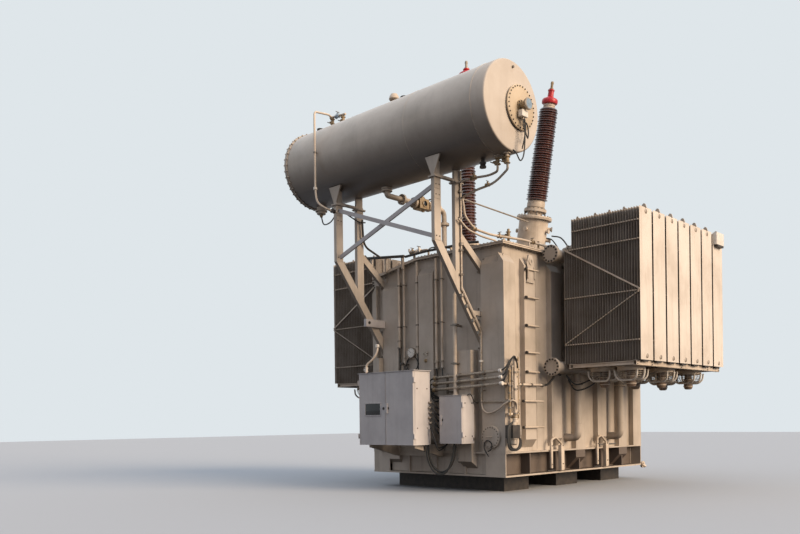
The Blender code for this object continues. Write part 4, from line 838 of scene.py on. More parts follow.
def oilGauge():  # dial gauge, its terminal box and its leads on the manhole cover
    m, z, y = drum["manhole"], drum["z"], -2.438
    parts = [
        alongY([(0, y), (0.1, y), (0.1, y - 0.02), (0, y - 0.02)], m - 0.02, z + 0.01, relayGold, 32),
        boltRing("tiny", 0.082, 8, (m - 0.02, y - 0.02, z + 0.01), (0, -1, 0)),
        alongY([(0, y), (0.062, y - 0.02), (0.058, y - 0.1), (0.08, y - 0.104), (0.08, y - 0.13),
            (0, y - 0.13)], m - 0.02, z + 0.01, relayGold, 32),
        alongY([(0.0, y - 0.128), (0.092, y - 0.128), (0.096, y - 0.136), (0.096, y - 0.158),
            (0.086, y - 0.166), (0, y - 0.166)], m - 0.02, z + 0.01, galvanised, 40),
        alongY([(0, y - 0.163), (0.078, y - 0.163), (0.078, y - 0.1675), (0, y - 0.1675)], m - 0.02,
            z + 0.01, gaugeBlue, 40),
        block((m - 0.13, y - 0.11, z - 0.19), (m + 0.03, y - 0.03, z - 0.085), labelWhite, 0.008),
        post(m - 0.02, y - 0.075, z - 0.1, z - 0.02, 0.02, relayGold, 12),
        post(m - 0.05, y - 0.068, z - 0.225, z - 0.18, 0.016, galvanised, 12),
        post(m - 0.005, y - 0.068, z - 0.225, z - 0.18, 0.016, galvanised, 12)]
    leads = [smoothRoute([(m - 0.05, y - 0.068, z - 0.22), (m - 0.055, y - 0.075, z - 0.32),
        (m, y - 0.08, z - 0.43), (m + 0.06, y - 0.075, z - 0.5), (m + 0.085, y - 0.07, z - 0.38),
        (m + 0.06, y - 0.06, z - 0.27), (m - 0.02, y - 0.06, z - 0.25)]),
        smoothRoute([(m - 0.005, y - 0.068, z - 0.22), (m - 0.03, y - 0.085, z - 0.4),
        (m - 0.04, y - 0.085, z - 0.62), (m - 0.075, y - 0.08, z - 0.82), (m - 0.15, y - 0.07, z - 0.9),
        (m - 0.235, y - 0.06, z - 0.8), (m - 0.24, y, z - 0.735)])]
    for lead in leads:
        parts += [pipe(lead, 0.011, cableRubber, None, 8)]
    parts += [cable([(m - 0.02, y - 0.068, z - 0.22), (m - 0.015, y - 0.09, z - 0.35),
        (m - 0.06, y - 0.09, z - 0.55), (m - 0.09, y - 0.07, z - 0.7)], 0.011)]
    join("oilGauge", parts)


# flanged valve with a bonnet and a hand lever
def valve(place, axis, size, material=relayGold, wheel=True):
    place, axis = Vector(place), Vector(axis).normalized()
    side = Vector((1, 0, 0)) if abs(axis.x) < 0.5 else Vector((0, 1, 0))
    stem = axis.cross(side).normalized()
    if stem.z < -0.1:
        stem = -stem
    parts = [
        lathe([(0, -size), (size * 0.95, -size), (size * 0.95, -size * 0.75), (size * 0.55, -size * 0.7),
            (size * 0.68, 0), (size * 0.55, size * 0.7), (size * 0.95, size * 0.75), (size * 0.95, size),
            (0, size)], place, axis, material, 24),
        bar(place, place + stem * size * 1.5, size * 0.42, material, 16),
        bar(place + stem * size * 1.4, place + stem * size * 2.0, size * 0.2, boltSteel, 10)]
    if wheel:
        parts += [bar(place + stem * size * 1.9 - side * size * 1.0,
            place + stem * size * 1.9 + side * size * 1.0, size * 0.16, boltSteel, 10)]
    return parts


drumPipes = {"top": 6.98, "vent": 0.238, "relief": -0.02, "hook": 0.43, "filler": 2.3, "drain": -1.78,
    "fills": ((1.62, 7.21), (1.93, 7.25)), "outside": -3.925, "down": 1.56}


def conservatorPiping():
    x, z, top = drum["x"], drum["z"], drumPipes["top"]
    parts = []
    for y, low in ((-2.08, 5.46), (-2.27, 5.44)):  # two valves under the near end
        parts += [
            post(x, y, low, 5.58, 0.028, palePaint),
            disc(0.06, 0.02, (x, y, 5.535), upward, palePaint, 20),
            *valve((x, y, low), upward, 0.055)]
    parts += [
        bar((x, -2.08, 5.5), (x, -2.27, 5.5), 0.018, relayGold, 12),
        *valve((x + 0.06, -2.18, 5.5), (0, 1, 0), 0.04)]
    first = [(x, -2.08, 5.42), (x, -2.08, 5.3), (x + 0.08, -1.85, 5.3), (x + 0.1, -1.5, 5.34),
        (x + 0.1, -1.13, 5.33)]
    second = [(x, -2.27, 5.4), (x + 0.02, -2.27, 5.3), (x + 0.08, -1.95, 5.15), (x + 0.12, -1.5, 5.13),
        (x + 0.22, -1.15, 5.1)]
    parts += [
        pipe(first, 0.02, palePaint, 0.14),
        pipe(second, 0.02, galvanised, 0.16),
        *valve((x + 0.1, -1.5, 5.34), (0, 1, 0), 0.045) + valve((x + 0.09, -1.8, 5.155), (0, 1, 0), 0.035)]
    y = drumPipes["drain"]  # dark drain fitting
    spool = [(0, 0), (0.055, 0), (0.055, 0.03), (0.04, 0.05), (0.055, 0.07), (0.055, 0.09), (0, 0.09)]
    parts += [post(x, y, 5.43, 5.57, 0.03, darkSteel), lathe(spool, (x, y, 5.42), upward, darkSteel, 20)]
    y = drumPipes["vent"]  # mushroom vent on top, and the relief valve, hook and filler beside it
    hat = [(0, -0.02), (0.085, -0.02), (0.095, 0.0), (0.085, 0.04), (0.06, 0.085), (0, 0.1)]
    parts += [
        post(x, y, top, z + 0.86, 0.05, palePaint, 24),
        lathe(hat, (x, y, z + 0.85), upward, palePaint, 28)]
    y = drumPipes["relief"]
    parts += [
        post(x, y, top, z + 0.8, 0.045, relayGold, 20),
        disc(0.075, 0.025, (x, y, z + 0.79), upward, darkSteel, 20),
        post(x, drumPipes["hook"], z + 0.71, z + 0.765, 0.03, darkSteel, 14)]
    y = drumPipes["filler"]
    parts += [
        post(x, y, top, z + 0.83, 0.04, relayGold, 20),
        disc(0.065, 0.03, (x, y, z + 0.81), upward, darkSteel, 20)]
    for y, high in drumPipes["fills"]:  # filling valves on top
        parts += [post(x, y, top, high, 0.03, relayGold), *valve((x, y, high - 0.08), upward, 0.05)]
    parts += [
        bar((x, 1.55, z + 0.94), (x, 2.0, z + 0.98), 0.022, palePaint, 12),
        *valve((x, 1.78, z + 0.955), (0, 1, 0), 0.045, gaugeBlue)]
    out, down = drumPipes["outside"], drumPipes["down"]  # thin pipe over the drum and down its outside
    route = [(x, 1.93, z + 0.96), (x - 0.1, 1.93, z + 1.0), (x - 0.74, 1.6, z + 0.8), (out, down, z + 0.6),
        (out, down, z - 0.7), (x - 0.765, 1.52, 5.35), (x - 0.7, 1.3, 5.2), (x - 0.5, 1.26, 5.17)]
    sleeve = [(0.018, 0), (0.036, 0.004), (0.036, 0.05), (0.018, 0.054)]
    parts += [pipe(route, 0.02, palePaint, 0.12), lathe(sleeve, (out, down, 5.6), upward, labelWhite, 16)]
    for level in (5.62, 6.3):
        parts += [
            bar((x - 0.71, down, level), (out, down, level), 0.012, boltSteel, 8),
            collar(0.021, 0.029, 0.03, (out, down, level - 0.015), upward, boltSteel, 12)]
    parts += [*valve((x - 0.6, 1.27, 5.18), (1, 0.2, 0), 0.04, darkSteel)]
    # cable from the sump round the far posts
    parts += [cable([(x, 2.3, 5.37), (x - 0.02, 2.2, 5.2), (x - 0.2, 1.8, 5.14), (x - 0.36, 1.45, 5.2),
        (x - 0.38, 1.3, 5.24), (x - 0.1, 1.31, 5.16), (x + 0.1, 1.3, 5.1), (x + 0.26, 1.31, 5.12)], 0.013)]
    join("conservatorPiping", parts)


conservatorPieces()
oilGauge()
conservatorPiping()
print("conservator built")


frames = {"planes": (-1.075, 1.375), "saddles": (-3.525, -2.995), "saddle": 5.335, "post": -2.335,
    "joints": (2.66, 4.02, 3.16), "braces": (4.36, 5.22, 5.05)}


def frameFittings():
    parts = []
    for y in frames["planes"]:
        for x in frames["saddles"]:  # base plates of the saddles, with their bolts
            z = frames["saddle"]
            parts += [block((x - 0.11, y - 0.075, z), (x + 0.11, y + 0.075, z + 0.0245), bodyPaint, 0.003)]
            for dx in (-0.0931, 0.0931):
                for dy in (-0.058, 0.058):
                    piece = newObject("bolt", bolts["tiny"].data.copy())
                    piece.data.transform(Matrix.Translation((x + dx, y + dy, z)) @ Matrix.Rotation(math.pi,
                        4, "X"))
                    parts += [piece]
        x = frames["post"]
        for z in frames["joints"]:  # bolted plates between the posts and the tank's end
            parts += [block((x - 0.005, y - 0.09, z - 0.13), (x + 0.014, y + 0.09, z + 0.13), bodyPaint,
                0.003)]
            for dy in (-0.066, 0.066):
                parts += [boltRow("small", (x - 0.005, y + dy, z - 0.1), (x - 0.005, y + dy, z + 0.1), 2,
                    (-1, 0, 0))]
        for z in frames["braces"]:  # plates where the braces meet the outer posts
            parts += [
                block((-3.6, y - 0.04, z - 0.07), (-3.46, y - 0.032, z + 0.07), bodyPaint, 0.002),
                boltRow("tiny", (-3.57, y - 0.041, z), (-3.49, y - 0.041, z), 2, (0, -1, 0))]
    # the bright tie plate out to the far frame's strut
    parts += [
        block((-2.93, 1.27, 3.11), (-2.38, 1.338, 3.26), cabinetPaint, 0.006),
        bar((-2.85, 1.255, 3.19), (-2.85, 1.275, 3.19), 0.03, darkSteel, 12)]
    join("frameFittings", parts)


breather = {"y": -1.1303, "upper": -2.95, "lower": -2.4403, "bend": 3.42, "across": 0.5, "fall": 0.668}


def thinPipes():
    parts = []
    y, upper, lower = breather["y"], breather["upper"], breather["lower"]
    for z in (5.2, 4.75, 4.2, 3.78):  # clips of the breather pipe on the near inner post
        parts += [block((upper - 0.045, y - 0.026, z - 0.02), (upper + 0.03, y + 0.02, z + 0.02),
            boltSteel, 0.003)]
    for t in (0.25, 0.6, 0.9):
        x, z = upper + t * breather["across"], breather["bend"] - t * breather["fall"]
        parts += [block((x - 0.02, y - 0.026, z - 0.03), (x + 0.03, y + 0.02, z + 0.03), boltSteel, 0.003)]
    parts += [
        *[collar(0.021, 0.036, 0.035, (lower, y, z), upward, labelWhite, 16) for z in (2.3, 1.98)],
        *[collar(0.021, 0.038, 0.05, (upper, y, z), upward, boltSteel, 16) for z in (4.28, 3.4)]]
    # second pipe beside the post, from the drum's near valves down to the cover's pipes
    long = [(-2.93, -1.15, 5.1), (-2.9, -1.15, 4.98), (-2.87, -1.15, 4.8), (-2.62, -1.15, 4.62),
        (-2.2, -1.2, 4.57), (-1.5, -1.38, 4.56), (-0.72, -1.4, 4.55)]
    short = [(-3.05, -1.16, 4.72), (-2.82, -1.18, 4.56), (-2.45, -1.2, 4.5), (-2.15, -1.25, 4.47),
        (-2.1, -1.3, 4.4)]
    parts += [pipe(long, 0.022, palePaint, 0.12), pipe(short, 0.018, palePaint, 0.1)]
    for place in ((-2.62, -1.15, 4.62), (-2.0, -1.24, 4.566), (-1.2, -1.39, 4.556)):
        parts += [*valve(place, (1, -0.1, 0), 0.04)]
    for x, y in ((-1.9, -1.26), (-1.3, -1.385), (-0.8, -1.4)):
        parts += [block((x - 0.02, y - 0.012, cover["top"]), (x + 0.02, y + 0.012, 4.54), bodyPaint, 0.003)]
    parts += [bar((-2.9, -0.9, 5.2), (-0.62, -0.9, 5.12), 0.014, galvanised, 10)]
    join("thinPipes", parts)


frameFittings()
thinPipes()


oilPath = {"y": 0.45, "level": 5.4217, "startX": -3.15, "endX": -1.556, "relay": (-2.38, -2.08),
    "radius": 0.05, "flange": 0.1, "stub": 5.4915, "foot": 4.3806}


def pipeFlange(place, axis, radius, thickness, count=8):  # two plates face to face, bolted on both sides
    place, axis = Vector(place), Vector(axis).normalized()
    low, high = place - axis * thickness, place + axis * thickness
    profile = [(0, 0), (radius, 0), (radius, thickness * 0.96), (radius - 0.003, thickness),
        (radius, thickness * 1.04), (radius, thickness * 2), (0, thickness * 2)]
    return [lathe(profile, low, axis, palePaint, 32), boltRing("tiny", radius * 0.78, count, high, axis),
        boltRing("tiny", radius * 0.78, count, low, -axis)]


def oilPipe():
    y, z, start, end = oilPath["y"], oilPath["level"], oilPath["startX"], oilPath["endX"]
    stub, foot, flange = oilPath["stub"], oilPath["foot"], oilPath["flange"]
    low, high = oilPath["relay"]
    route = [(start, y, stub + 0.0335), (start, y, z), (end, y, z), (end, y, foot)]
    parts = [
        pipe(route, oilPath["radius"], palePaint, 0.12, 24),
        disc(0.1, 0.03, (start, y, stub), upward, palePaint),
        boltRing("tiny", 0.08, 8, (start, y, stub), downward)]
    for x in (-2.75, low - 0.045, high + 0.045, end - 0.2):
        parts += [*pipeFlange((x, y, z), (1, 0, 0), flange, 0.022)]
    for level in (4.5, 5.15):
        parts += [*pipeFlange((end, y, level), upward, flange, 0.02)]
    parts += [
        disc(0.11, 0.025, (end, y, foot + 0.0001), upward, palePaint),
        boltRing("tiny", 0.088, 8, (end, y, foot + 0.0251), upward)]
    middle = (low + high) / 2  # the gas relay: a body, a lid and a window on both sides
    lid = [(0, 0), (0.085, 0), (0.085, 0.012), (0.07, 0.02), (0.07, 0.045), (0, 0.05)]
    parts += [
        block((low + 0.02, y - 0.1, z - 0.1), (high - 0.02, y + 0.1, z + 0.1), relayGold, 0.02),
        lathe(lid, (middle, y, z + 0.098), upward, relayGold, 28),
        boltRing("tiny", 0.074, 6, (middle, y, z + 0.11), upward)]
    pane = [(0, 0), (0.055, 0), (0.055, 0.012), (0.048, 0.016), (0, 0.016)]
    for side in (-1, 1):
        spot, out = (middle, y + side * 0.099, z), (0, side, 0)
        parts += [
            lathe(pane, spot, out, darkGlass, 24),
            collar(0.05, 0.064, 0.02, spot, out, relayGold, 24)]
    parts += [
        post(middle + 0.06, y, z - 0.13, z - 0.09, 0.03, relayGold, 14),
        post(middle - 0.05, y, z + 0.13, z + 0.19, 0.014, galvanised, 10),
        *valve((-1.9, y, z), (1, 0, 0), 0.09)]
    join("oilPipe", parts, replaced=("oil_pipe",))


oilPipe()
print("frames and oil pipe built")


endWall = {"recess": -2.32, "stiffener": -2.42, "clips": (3.9, 3.1), "pocketTop": 4.3,
    "pockets": ((0.905, 2.69, 0.026), (0.775, 2.35, 0.02), (0.43, 2.55, 0.024), (-0.05, 2.24, 0.026),
    (-0.185, 2.24, 0.02))}
dial = {"y": 0.6, "z": 2.585, "marks": 8, "step": 32, "from": -22, "coilY": 0.59, "coilZ": 2.37,
    "coil": 0.145, "turns": 3, "points": 90}


def pocketPipe(x, y, low, radius):  # a pipe down from the cover on two stand-offs, with its cable
    top = endWall["pocketTop"]
    parts = [pipe([(x, y, top), (x, y, low)], radius, palePaint, 0.08, 12)]
    for z in endWall["clips"]:
        parts += [
            bar((x, y, z), (x + 0.08, y, z), radius * 0.45, boltSteel, 8),
            clampRing(radius, radius * 1.45, 0.012, (x, y, z), upward, boltSteel, 12)]
    return parts + [collar(radius, radius * 1.6, 0.035, (x, y, low + 0.12), upward, galvanised, 14),
        collar(radius, radius * 1.9, 0.02, (x, y, low), upward, boltSteel, 14),
        cable([(x, y, low + 0.01), (x - 0.01, y - 0.02, low - 0.12), (x - 0.02, y - 0.03, 2.12)], 0.012)]


def thermometer():  # a dial on a plate in the recess, with its coiled capillary
    wall, y, z, out = endWall["recess"], dial["y"], dial["z"], (-1, 0, 0)
    case = [(0, 0), (0.098, 0), (0.104, 0.01), (0.104, 0.05), (0.092, 0.062), (0.09, 0.056), (0, 0.056)]
    parts = [
        block((wall - 0.03, 0.44, 2.47), (wall - 0.001, 0.76, 2.69), palePaint, 0.004),
        lathe(case, (wall - 0.03, y, z), out, galvanised, 40),
        disc(0.088, 0.002, (wall - 0.0865, y, z), out, labelWhite, 40)]
    for k in range(dial["marks"]):  # graduations
        turn = math.radians(k * dial["step"] + dial["from"])
        ends = [(wall - 0.0885, y + r * math.cos(turn), z + r * math.sin(turn)) for r in (0.062, 0.08)]
        parts += [bar(*ends, 0.0022, darkSteel, 4)]
    parts += [bar((wall - 0.089, y, z), (wall - 0.089, y + 0.045, z + 0.04), 0.003, darkSteel, 4)]
    y, z, coil = dial["coilY"], dial["coilZ"], []
    for i in range(dial["points"]):
        t = i / (dial["points"] - 1)
        turn = t * math.pi * 2 * dial["turns"]
        coil += [(wall - 0.05 - 0.012 * t, y + dial["coil"] * math.cos(turn),
            z + dial["coil"] * math.sin(turn))]
    parts += [pipe(coil, 0.007, cableRubber, None, 6)]
    for dy, dz in ((0, 0.145), (0.145, 0), (-0.145, 0)):
        parts += [block((wall - 0.075, y + dy - 0.015, z + dz - 0.015),
            (wall - 0.001, y + dy + 0.015, z + dz + 0.015), boltSteel, 0.002)]
    return parts + [cable([(wall - 0.06, 0.6, 2.49), (wall - 0.09, 0.66, 2.43), (wall - 0.08, 0.74, 2.33),
        (wall - 0.05, 0.7, 2.2)], 0.006, 6)]


def endFace():
    parts, out = [], (-1, 0, 0)
    for y, low, radius in endWall["pockets"]:
        parts += [*pocketPipe(endWall["recess"] - 0.075, y, low, radius)]
    parts += [*thermometer()]
    # small plate, bolts and plug on the wide stiffener
    plug = [(0, 0), (0.035, 0), (0.035, 0.012), (0.022, 0.02), (0.022, 0.035), (0, 0.035)]
    parts += [
        block((-2.432, 0.14, 2.5), (-2.4195, 0.25, 2.58), galvanised, 0.002),
        boltRow("tiny", (-2.432, 0.155, 2.54), (-2.432, 0.235, 2.54), 2, out),
        lathe(plug, (endWall["stiffener"], 0.2, 2.41), out, relayGold, 18)]
    # bent filling pipe with its valve above the far end of the cabinet
    filler = [(-3.2, 1.0, 2.177), (-3.2, 1.0, 2.34), (-3.16, 0.9, 2.42), (-3.12, 0.84, 2.5),
        (-3.1, 0.8, 2.6), (-3.1, 0.8, 2.68)]
    knob = [(0, 0), (0.045, 0), (0.05, 0.02), (0.03, 0.045), (0, 0.05)]
    parts += [
        pipe(filler, 0.02, palePaint, 0.05),
        *valve((-3.2, 1.0, 2.25), upward, 0.04, labelWhite, False),
        post(-3.1, 0.8, 2.66, 2.72, 0.038, labelWhite),
        post(-2.62, 0.62, 2.164, 2.36, 0.016, boltSteel, 10),
        lathe(knob, (-2.62, 0.62, 2.34), upward, darkSteel, 16)]
    join("endFaceFittings", parts)


conduits = {"x": -2.56, "step": 0.012, "start": -0.14, "radius": 0.026, "rise": 0.06,
    "clamps": (-0.2, -0.75, -1.3), "runs": ((2.06, -1.62), (1.95, -1.64), (1.84, -1.66)), "corner": -1.672,
    "cornerRadius": 0.024}


def horizontalConduits():
    start, rise, r, across = conduits["start"], conduits["rise"], conduits["radius"], (0, 1, 0)
    parts = []
    for k, (z, end) in enumerate(conduits["runs"]):
        x = conduits["x"] - conduits["step"] * k
        parts += [
            pipe([(x, start, z), (x, end, z + rise)], r, galvanised, None, 12),
            bar((x, end - 0.05, z + rise), (x, end + 0.01, z + rise), 0.036, labelWhite, 14)]
        for y in conduits["clamps"]:
            spot = (x, y, z + rise * (y - start) / (end - start))
            parts += [clampRing(r, 0.037, 0.02, spot, across, boltSteel, 14)]
        parts += [clampRing(r, 0.042, 0.03, (x, start - 0.02, z), across, relayGold, 14)]
    x = conduits["x"]
    for y, wall in ((-0.42, -2.325), (-1.2, endWall["stiffener"])):  # rails that carry them
        parts += [
            block((x + 0.03, y - 0.025, 1.76), (x + 0.045, y + 0.025, 2.13), boltSteel, 0.002),
            *[bar((x + 0.04, y, z), (wall, y, z), 0.012, boltSteel, 8) for z in (2.08, 1.8)]]
    # lowest conduit goes on round the corner along the long side, then as cable to the collector
    y, r = conduits["corner"], conduits["cornerRadius"]
    corner = [(x - 0.024, -1.6, 1.9), (x - 0.01, -1.665, 1.9), (-2.4, y, 1.89), (-1.32, y, 1.9)]
    parts += [
        pipe(corner, r, palePaint, 0.05, 12),
        *[clampRing(r, 0.034, 0.02, (at, y, 1.895), (1, 0, 0), boltSteel, 14)
            for at in (-2.0, -1.7, -1.36)],
        cable([(-1.33, y, 1.9), (-1.2, -1.69, 1.92), (-1.05, -1.7, 2.03), (-0.95, -1.7, 2.12),
            (-0.8, -1.7, 2.1)], 0.02)]
    for k in range(4):  # cables that hang from the conduits' ends behind the small cabinet
        parts += [cable([(x, -0.12, 2.06 - 0.09 * k), (-2.57, -0.03 - 0.01 * k, 2.0 - 0.08 * k),
            (-2.57, -0.05 - 0.03 * k, 1.85 - 0.07 * k), (-2.56, -0.2 - 0.05 * k, 1.72 - 0.02 * k),
            (-2.58, -0.55 - 0.02 * k, 1.7)], 0.014)]
    for k in range(3):  # and over the corner
        parts += [cable([(x - conduits["step"] * k, -1.66, 2.12 - 0.11 * k),
            (-2.55, -1.74, 2.17 - 0.08 * k), (-2.48, -1.77, 2.27 - 0.02 * k),
            (-2.4, -1.78 - 0.012 * k, 2.34 + 0.01 * k), (-2.33 + 0.02 * k, -1.78, 2.35 - 0.02 * k),
            (-2.28 + 0.02 * k, -1.77, 2.27 - 0.05 * k)], 0.015)]
    join("horizontalConduits", parts)


column = {"x": -2.29, "y": -1.745, "brackets": (2.15, 1.9, 1.62, 1.38), "drive": -2.37,
    "pipes": ((0, 0, 2.33, 1.25, 0.032, palePaint), (0.075, 0.01, 2.26, 1.42, 0.016, palePaint),
    (-0.075, 0.0, 2.18, 1.5, 0.018, galvanised), (0.12, 0.02, 2.34, 1.3, 0.014, relayGold),
    (-0.13, 0.02, 2.1, 1.35, 0.022, relayGold))}


def valveColumn():
    x, y = column["x"], column["y"]
    parts = []
    for dx, dy, top, low, radius, material in column["pipes"]:
        at = (x + dx, y + dy)
        parts += [
            pipe([(*at, top), (*at, low)], radius, material, None, 12),
            disc(radius * 1.5, 0.03, (*at, top), upward, material, 14),
            *[collar(radius, radius * 1.5, 0.03, (*at, z), upward, boltSteel, 12)
                for z in (top - 0.25, (top + low) / 2, low + 0.12)]]
    for z in column["brackets"]:  # they hold the column off the stiffener
        parts += [
            block((x - 0.16, y + 0.012, z - 0.018), (x + 0.15, y + 0.03, z + 0.018), palePaint, 0.003),
            *[bar((x + dx, y + 0.02, z), (x + dx, -1.625, z), 0.012, boltSteel, 8) for dx in (-0.1, 0.1)],
            boltRow("tiny", (x - 0.13, y + 0.012, z), (x + 0.13, y + 0.012, z), 3, (0, -1, 0))]
    coupling = [(0, 0), (0.03, 0), (0.05, 0.05), (0.05, 0.1), (0.03, 0.14), (0, 0.14)]
    parts += [
        *valve((x, y, 1.32), upward, 0.05, relayGold, False),
        lathe(coupling, (x, y, 1.17), upward, palePaint, 20)]
    x = column["drive"]  # dark housing with a cover on top and a silver gear case below
    gear = [(0, 0), (0.04, 0), (0.062, 0.02), (0.062, 0.09), (0.075, 0.1), (0.075, 0.115), (0, 0.115)]
    cap = [(0, 0), (0.055, 0), (0.05, 0.045), (0, 0.05)]
    parts += [
        block((x - 0.11, y - 0.09, 0.96), (x + 0.1, y + 0.08, 1.19), darkSteel, 0.02),
        block((x + 0.1, y - 0.07, 0.985), (x + 0.17, y + 0.07, 1.17), galvanised, 0.01),
        block((x + 0.171, y - 0.05, 1.0), (x + 0.19, y + 0.05, 1.16), relayGold, 0.004),
        lathe(gear, (x - 0.02, y - 0.035, 0.845), upward, galvanised, 24),
        lathe(cap, (x - 0.02, y - 0.035, 1.188), upward, palePaint, 20)]
    for sway in (0.0, 0.03, 0.055):  # black cable loops round the drive
        parts += [cable([(x - 0.06, y - 0.05, 1.24), (x - 0.13 - sway, y - 0.05, 1.17),
            (x - 0.17 - sway, y - 0.06, 1.0), (x - 0.13 - sway, y - 0.06, 0.82 - sway * 0.4),
            (x, y - 0.05, 0.775 - sway * 0.4), (x + 0.1 + sway, y - 0.045, 0.8),
            (x + 0.14 + sway * 0.5, y - 0.05, 0.9), (x + 0.12, y - 0.05, 0.98)], 0.015)]
    # rain pipe that swings from the breather pipe over to the column
    swing = [(breather["lower"], breather["y"], 1.62), (-2.44, -1.16, 1.47), (-2.46, -1.3, 1.4),
        (-2.47, -1.5, 1.45), (-2.46, -1.66, 1.56), (-2.4, -1.77, 1.61), (-2.31, -1.79, 1.56),
        (-2.285, -1.78, 1.46)]
    parts += [pipe(smoothRoute(swing), 0.016, palePaint, None, 10)]
    join("valveColumn", parts, replaced=("valve_column",))


hole = {"place": (-2.42, -1.33, 0.98), "radius": 0.2, "bolts": 20, "thickness": 0.04}


def handHole():
    x, y, z = hole["place"]
    r, out, face = hole["radius"], (-1, 0, 0), x - hole["thickness"]
    plate = [(0, 0), (r, 0), (r, 0.018), (r - 0.004, 0.02), (r, 0.022), (r, 0.038), (r - 0.006, 0.04),
        (0, 0.04)]
    handle = [(face, y - 0.03, z), (face - 0.05, y - 0.03, z), (face - 0.05, y + 0.07, z),
        (face, y + 0.07, z)]
    loop = [(x - 0.05, y + 0.03, 0.64), (x - 0.06, y + 0.11, 0.76), (x - 0.06, y + 0.12, 0.86),
        (x - 0.06, y + 0.05, 0.92), (x - 0.06, y - 0.04, 0.87), (x - 0.06, y - 0.03, 0.77),
        (x - 0.06, y + 0.04, 0.73)]
    plug = [(0, 0), (0.05, 0), (0.05, 0.02), (0.03, 0.03), (0, 0.03)]
    parts = [
        lathe(plate, (x, y, z), out, bodyPaint, 56),
        boltRing("tiny", r - 0.028, hole["bolts"], (face, y, z), out),
        pipe(handle, 0.008, bodyPaint, 0.03, 8),
        cable(loop, 0.01),
        lathe(plug, (-2.44, -0.62, 0.56), out, boltSteel, 20)]
    join("handHoleCover", parts, replaced=("hand_hole_cover",))


endFace()
horizontalConduits()
valveColumn()
handHole()
print("end face built")


def rimBolts():  # round the cover's edge, above and below it, also down its sloping far part
    z, rim, long, slope = cover["top"], cover["rim"], cover["long"], cover["slope"]
    normal = Vector((0, -slope, 1)).normalized()
    y, near, far = cover["near"], slope * 0.055, slope * 1.155
    rows = [((-2.38, y, z), (2.38, y, z), 60, upward), ((-2.38, y, z - rim), (2.38, y, z - rim), 60,
        downward), ((-long, -1.5, z), (-long, 0.4, z), 24, upward),
        ((-long, -1.5, z - rim), (-long, 0.4, z - rim), 24, downward),
        ((long, -1.5, z), (long, 0.4, z), 24, upward)]
    for x in (-long, long):
        rows += [((x, 0.48, z + near), (x, 1.58, z + far), 14, normal),
            ((x, 0.48, z - rim + near), (x, 1.58, z - rim + far), 14, -normal)]
    rows += [((-2.3, 1.59, z + slope * 1.165), (2.3, 1.59, z + slope * 1.165), 58, normal)]
    return [boltRow("small", *row) for row in rows]


